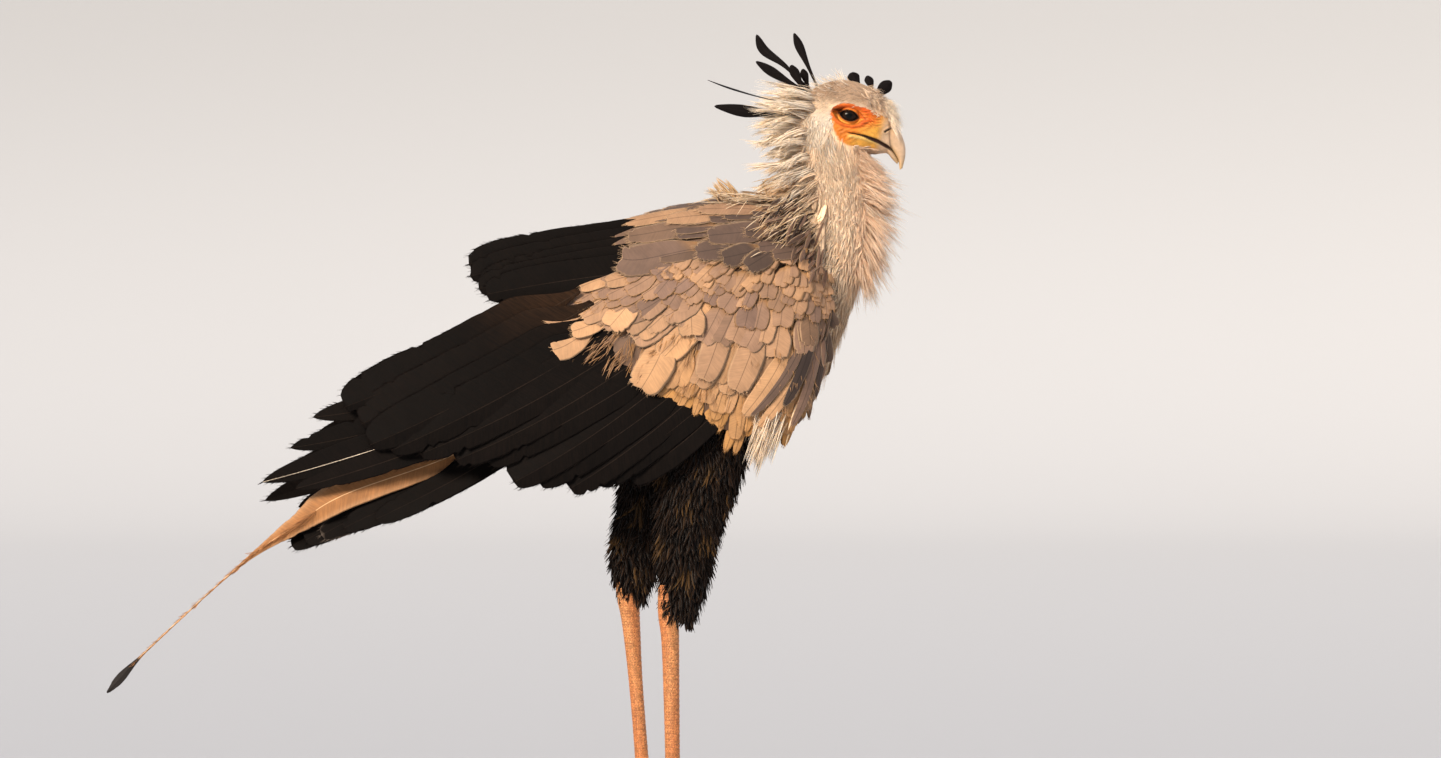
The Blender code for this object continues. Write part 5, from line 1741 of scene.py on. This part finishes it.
TUFTS = [
    # middle, spread, count, way, length, half width, colours, seed, lean, and a share of rim
    ((337, 95, 588), (5.5, 4, 13), 420, (-0.4, 0.1, -1), 68, 1.0, (WHITE, CREAM), 71, 0.06),
    ((354, 88, 594), (7, 4, 12), 70, (-0.45, 0.1, -1), 40, 1.8, (TAN, CREAM), 72, 0.12),
    # slate and black lancets: partly dark feathers, partly painted shade at the wing's front and in the
    # gaps between neck and wing
    ((392, 70, 672), (5, 4, 30), 44, (-0.3, 0.2, -1), 34, 3.4, (SLATE, MAUVE), 73, 0.12),
    ((374, 64, 762), (10, 8, 22), 60, (-0.5, 0.45, -0.8), 34, 3.4, (SLATE, MAUVE), 74, 0.2, 0.5),
    ((352, 48, 808), (14, 9, 14), 60, (-0.9, 0.35, -0.4), 36, 3.4, (SLATE, MAUVE), 75, 0.16, 0.5),
    ((352, 56, 798), (15, 8, 16), 420, (-0.8, 0.3, -0.45), 28, 0.8, (BUFF, CREAM), 79, 0.24, 0.2),
    ((346, 60, 802), (12, 5, 14), 34, (-0.55, 0.35, -0.8), 34, 1.6, (BLACK, SLATE), 69, 0.12, 0.1),
    ((318, 26, 828), (24, 10, 5), 170, (-1, 0.1, 0.03), 36, 0.9, (GREY_BROWN, CREAM), 76, 0.16),
]
MANTLE_TUFTS = [
    ((292, -20, 822), (10, 6, 3), 80, (-0.66, -0.1, 0.75), 44, 1.45, (TAN, CREAM), 77, 0.16),
    ((352, 0, 846), (10, 22, 7), 260, (-1, 0, -0.28), 32, 0.9, (BUFF, CREAM), 78, 0.24)]
tufts = [tuft(side, *row) for side in SIDES.values() for row in TUFTS]
tufts += [tuft(LEFT, *row) for row in MANTLE_TUFTS]
dress("coat_tufts", tufts, PALE)

# %% [markdown]
# ## Thighs
#
# The thighs wear loose black breeches with a few brown and tan feathers.
# Their edges are ragged, because each feather stands a little off the leg.

# %% Thigh feathers
for side_name, side in SIDES.items():
    rng = default_rng(81)
    leg, count = thigh(side), 2800
    u, v = spread(leg, count, (-0.1, 5.05), (0, 1), 81 + side)
    root = leg(u, v)
    _, _, up = slopes(leg, u, v)
    way = np.array([-0.12, 0, -1.0]) + up * 0.1 + rng.normal(0, 0.2, (count, 3))
    s = rows_of(5, 1.3)
    long = rng.uniform(19, 34, count) * np.interp(u, [0, 4, 5], [1.1, 1.0, 0.7])
    lift = rng.uniform(3.0, 12, count)
    path, up = lie(leg, u, v, unit(way), long, s, -1.0, lift, power=1.5, sway=rng.normal(0, 3, count))
    half = ragged(rng, (rng.uniform(2.8, 6.2, count) / 2)[:, None] * lancet(s), 0.05, 0.25)
    feathers = vanes(path, tilted(up, path, rng.normal(0, 0.35, count)), half, crest=0.2, camber=0.25)
    patchy = np.sin(root[:, 0] * 0.11 + 2.0) * np.sin(root[:, 2] * 0.07 + 0.6) + rng.normal(0, 0.25, count)
    fleck = smooth(patchy, 0.55, 1.15)
    core = mix(BLACK, paint(46, 34, 26), rng.random(count)) * rng.uniform(0.8, 1.2, (count, 1))
    brown = mix(core, paint(104, 78, 48), 0.4 * fleck)
    coloured(feathers, brown, mix(brown, paint(134, 100, 62), 0.4 * fleck), core)
    rooted(feathers, place_in(u, v, (-0.1, 5.1), (0, 1)), 82)
    dress("coat_thigh_" + side_name, [feathers], BREECHES)

# %% [markdown]
# ## Flight feathers
#
# Secondaries, primaries and tertials are the big black feathers of the
# folded wing. Roots lie on one curved line and tips on another, and each
# feather runs between the same shares of both. The upper feathers lie over
# the lower ones, so each is a little further out than the one below it. The
# shaft is nearer the lower edge, where the narrow web is, and is a raised
# ridge of its own.

# %% Fans of flight feathers
FLIGHT = (-1.0, -0.9, -0.6, -0.3, 0.0, 0.2, 0.45, 0.7, 0.92, 1.0)
RIDGE = (-1.0, -0.5, 0.0, 0.5, 1.0)
SECONDARY_ROOTS = [(286, 97, 580), (241, 101, 604), (185, 99, 633), (135, 88, 680), (85, 66, 724)]
SECONDARY_TIPS = [(172, 97, 498), (66, 84, 474), (-46, 66, 500), (-160, 44, 522), (-215, 20, 580)]
PRIMARY_ROOTS = [(40, 38, 640), (30, 46, 610), (22, 50, 585), (14, 52, 560)]
PRIMARY_TIPS = [(-232, 15, 572), (-266, 22, 530), (-298, 28, 474), (-240, 34, 470)]
PRIMARY_DROP = {RIGHT: 0.0, LEFT: 24.0}
TERTIAL_ROOTS = [(228, 12, 792), (226, 34, 784), (218, 54, 764), (206, 70, 738)]
TERTIAL_TIPS = [(12, 8, 762), (-30, 18, 742), (-38, 32, 718), (-16, 46, 696)]


def blunt(s):
    """The outline of a secondary: broad nearly to the end, then squarely rounded."""
    return np.maximum((0.15 + 0.85 * smooth(s, 0, 0.2)) * (1 - s**9) ** 0.5, 0.04)


def pointed(s):
    """The outline of a primary: broad to two thirds, then narrowing to a rounded point."""
    return np.maximum((0.5 + 0.5 * smooth(s, 0, 0.25)) * (1 - s**4) ** 0.7, 0.04)


def long_feathers(path, up, lower, upper, outline, core, rim, seed, side, shaft=0.7, white=(), root=None):
    """Long vanes with their raised shafts: lower and upper are the half widths of the two webs."""
    rng = default_rng(seed)
    n, rows, _ = path.shape
    s = np.linspace(0, 1, rows)
    webs = outline(s)[:, None] * (np.array([lower, upper]) if side == RIGHT else np.array([upper, lower]))
    webs = ragged(rng, np.tile(webs, (n, 1, 1)), 0.008, 0.1)
    columns = FLIGHT if side == RIGHT else tuple(-c for c in FLIGHT[::-1])
    feathers = vanes(path, up, webs, columns, crest=0.25, camber=0.05, under=0.25, slant=0.5)
    coloured(
        feathers, core, rim, core * 0.8 if root is None else root, rim_from=0.9, root_to=0.45,
        tip_from=0.95)
    k = np.arange(n)
    rooted(feathers, stacked((k + 0.06) / n, 0.02), seed, (0.72 / n, 0.93))
    thick = shaft * (1 - 0.75 * s) * np.ones((n, 1))
    ridge = vanes(path + up * 0.3, up, thick, RIDGE, crest=0.3, camber=0.5, under=0.3)
    line = np.tile(paint(46, 38, 33), (n, 1))
    line[list(white)] = paint(232, 214, 192)
    coloured(ridge, line, line * 0.8, line)
    rooted(ridge, stacked((k + 0.86) / n, 0.02), seed + 1, (0.08 / n, 0.93))
    return [feathers, ridge, fringe(feathers, 110, 0.35, 5.5, 0.26, seed + 2)]


def fan(
        side, roots, tips, count, lower, upper, outline, seed, bow=10.0, sag=8.0, layer=1.1, drop=0.0,
        brown=0.0, scatter=4.0, **more):
    """A fan of feathers between a line of roots and a line of tips, bowed outwards and sagging, each
    higher one lying further out. The top ones turn brown by the share brown."""
    rng = default_rng(seed)
    share = (np.arange(count) + 0.5) / count
    root = curve(roots, share * (len(roots) - 1))
    tip = curve(tips, share * (len(tips) - 1)) + rng.normal(0, scatter, (count, 3)) * np.array([1, 0, 0.6])
    s = np.linspace(0, 1, 44)[None, :, None]
    path = root[:, None] * (1 - s) + tip[:, None] * s
    arch = (4 * s * (1 - s))[..., 0]
    path[..., 1] += bow * arch + (layer * np.arange(count))[:, None]
    path[..., 2] += -sag * arch * rng.uniform(0.6, 1.3, (count, 1)) - drop * s[..., 0]
    path[..., 1] *= side
    up = unit([0.0, side, 0.12])
    core = BLACK * rng.uniform(0.85, 1.25, (count, 1))
    root = mix(core, paint(82, 58, 40), brown * smooth(share, 0.75, 0.95))
    return long_feathers(path, up, lower, upper, outline, core, core * 1.3, seed, side, root=root, **more)


FANS = {
    "secondaries": dict(
        roots=SECONDARY_ROOTS, tips=SECONDARY_TIPS, count=12, lower=19, upper=38, outline=blunt, bow=13,
        brown=0.3, layer=0.9, scatter=9.0),
    "primaries": dict(
        roots=PRIMARY_ROOTS, tips=PRIMARY_TIPS, count=4, lower=16, upper=26, outline=pointed, bow=4,
        shaft=0.9, white=[2]),
    "tertials": dict(
        roots=TERTIAL_ROOTS[::-1], tips=TERTIAL_TIPS[::-1], count=6, lower=17, upper=26, outline=blunt,
        bow=9, sag=-4, scatter=9.0)}
for side_name, side in SIDES.items():
    for k, (name, facts) in enumerate(FANS.items()):
        feathers = fan(
            side, seed=91 + 2 * k, drop=PRIMARY_DROP[side] if name == "primaries" else 0.0, **facts)
        dress(f"{name}_{side_name}", feathers, DARK, f"wing_{name}_{side_name}")

# %% [markdown]
# ## Tail
#
# The tail is a roof of black feathers, longest in the middle, and under its
# ridge two very long ones stream out behind. Beyond the other feathers their
# webs are worn away to loose barbs that hang from the shaft, up to a small
# black flag at the tip.

# %% Tail fan
TAIL_LINE = [(92, 600), (-59, 514), (-200, 449), (-276, 409)]
TAIL_HALF_WIDTH, TAIL_DROP, TAIL_UNDER, TAIL_SHORTENING = 46.0, 20.0, 17.0, 0.48


def tail_fan():
    """Ten feathers side by side on a roof: each keeps its place across, and its reach along the tail's
    line shrinks with its distance from the middle."""
    a = np.linspace(-0.92, 0.92, 10)[:, None]
    s = np.linspace(0, 1, 44)[None] * np.ones((10, 1))
    reach = 1 - TAIL_SHORTENING * np.abs(a) ** 1.15
    line = curve(TAIL_LINE, 3 * s * reach)
    y = TAIL_HALF_WIDTH * a * (0.45 + 0.55 * s)
    z = line[..., 1] - TAIL_DROP * a**2 * (0.3 + 0.7 * s) - TAIL_UNDER + 3.6 * (1 - np.abs(a))
    up = unit(stacked(0.45, 1.3 * np.tanh(5 * a) + 0 * s, 0.7))
    core = np.tile(BLACK, (10, 1))
    rim = core * 1.2
    rim[[2, 6]] = paint(96, 86, 78)
    return long_feathers(stacked(line[..., 0], y, z), up, 18, 18, blunt, core, rim, 97, RIGHT)


dress("tail", tail_fan(), DARK, "tail_fan")

# %% Streamers
STREAMER_LINE = [(58, 587), (-59, 516), (-200, 464), (-259, 428), (-334, 374), (-452, 266), (-499, 216)]
STREAMER_WEB = [(12,), (30,), (38,), (24,), (3.6,), (2.1,), (1.7,)]
STREAMER_TAN, STREAMER_SHAFT, FLAG = paint(166, 114, 70), paint(226, 188, 144), paint(34, 28, 26)


def streamer(side):
    """A long vane that thins to its shaft, loose barbs hanging from it, and a flag at the tip."""
    rng = default_rng(101)
    s = np.linspace(0, 1, 90)
    line, web = curve(STREAMER_LINE, 6 * s), curve(STREAMER_WEB, 6 * s)[:, 0]
    path = stacked(line[:, 0], side * (4 + 3.5 * s + 22 * hump(s - 0.33, 0.2)), line[:, 1])[None]
    steps = np.linalg.norm(np.diff(path[0], axis=0), axis=-1)
    left = np.append(np.cumsum(steps[::-1])[::-1], 0)
    wide = np.maximum(web, 0.8) + 10 * hump(left - 26, 24) * smooth(left, -1, 6)
    half = ragged(rng, wide[None] * 0.5, 0.01, 0.12)
    up = unit([0.0, side, 0.25])
    vane = vanes(path, up, half, FLIGHT, crest=0.5, camber=0.1, under=0.4, slant=0.5)
    ridge = vanes(path + up * 0.5, up, (0.9 - 0.35 * s)[None], RIDGE, crest=0.35, camber=0.5, under=0.5)
    for part, colour, place, width, seed in (
            (vane, STREAMER_TAN, 0.02, 0.1, 102), (ridge, STREAMER_SHAFT, 0.16, 0.04, 103)):
        coloured(part, colour, mix(colour, PALE_RIM, 0.3), colour * 0.6)
        black = np.repeat(smooth(-left, -64, -56), part["shape"][2])
        part["tint"] = mix(part["tint"], FLAG, black)
        rooted(part, np.array([[place, 0.02]]), seed, (width, 0.95))
    count = 420
    at = np.sort(rng.uniform(0.42, 0.875, count))
    root = stacked(*(np.interp(at, s, path[0, :, k]) for k in range(3)))
    way = unit(np.array([-0.75, 0, -1]) + rng.normal(0, 0.2, (count, 3)))
    long = (np.interp(at, [0.42, 0.6, 0.875], [22, 14, 5]) * rng.uniform(0.5, 1.2, count))[:, None, None]
    t = np.linspace(0, 1, 5)
    lines = shaft_lines(root, way, long, np.array([-0.3, 0, 0.1]), t)
    thin = 0.42 * (1 - 0.6 * t) * np.ones((count, 1))
    barbs = vanes(lines, [0.0, float(side), 0.0], thin, crest=0.3, camber=0)
    tone = STREAMER_TAN * rng.uniform(0.7, 1.2, (count, 1))
    coloured(barbs, tone, tone, tone)
    rooted(barbs, stacked(0.3 + 0.6 * rng.random(count), at * 0.9), 104)
    return [vane, ridge, barbs]


for side_name, side in SIDES.items():
    dress(
        "streamer_" + side_name, streamer(side), (streamer_feather, "streamer"),
        "tail_streamer_" + side_name)

# %% [markdown]
# ## Nape plumes
#
# The quill-like plumes behind the head gave the bird its name. Each is a bare
# stem that widens to a narrow black blade. The wind has turned one of them
# edge on.

# %% Crest
CREST = [
    ([(364, -16, 950), (322, -21, 958), (284, -26, 969), (251, -30, 980)], 11, True),
    ([(366, -24, 938), (329, -33, 939), (298, -40, 941), (259, -46, 947)], 15, False),
    ([(381, 6, 966), (348, 12, 999), (322, 16, 1019), (312, 20, 1039)], 12, False),
    ([(376, -6, 965), (343, -9, 984), (311, -12, 1004)], 12, False),
    ([(388, 9, 973), (371, 16, 1012), (359, 22, 1041)], 11, False),
    ([(374, 0, 962), (364, 1, 982), (355, 2, 1000)], 12, False),
    ([(379, 14, 966), (374, 18, 982), (370, 21, 996)], 10, False),
    ([(444, 20, 968), (437, 30, 980), (431, 38, 992)], 15, False),
    ([(458, 17, 962), (455, 26, 976), (451, 34, 988)], 11, False),
    ([(462, 12, 954), (468, 24, 967), (481, 34, 981)], 16, False)]


def plume(points, width, edge_on, seed):
    """One plume along a smooth line through its points: a stem, and a blade widest at two thirds."""
    s = np.linspace(0, 1, 34)
    path = curve(points, s * (len(points) - 1))[None]
    blade = width / 2 * (0.28 + 0.76 * np.exp(-(((s - 0.66) / 0.3) ** 2))) * np.maximum(1 - s**9, 0) ** 0.5
    up = unit([-0.2, 0.1, 1.0] if edge_on else [0.1, -1.0, 0.1])
    half = ragged(default_rng(seed), blade[None], 0.006, 0)
    feather = vanes(path, up, half, BROAD, crest=0.3, camber=0.15, under=0.4, slant=0.5)
    dark = paint(24, 20, 20)
    coloured(feather, dark, dark * 1.2, dark)
    return rooted(feather, np.array([[0.09 * (seed % 10) + 0.01, 0.02]]), seed, (0.07, 0.95))


plumes = [plume(*row, 110 + k) for k, row in enumerate(CREST)]
dress("nape_plumes", plumes, DARK, *[f"crest_{k + 1}" for k in range(10)])
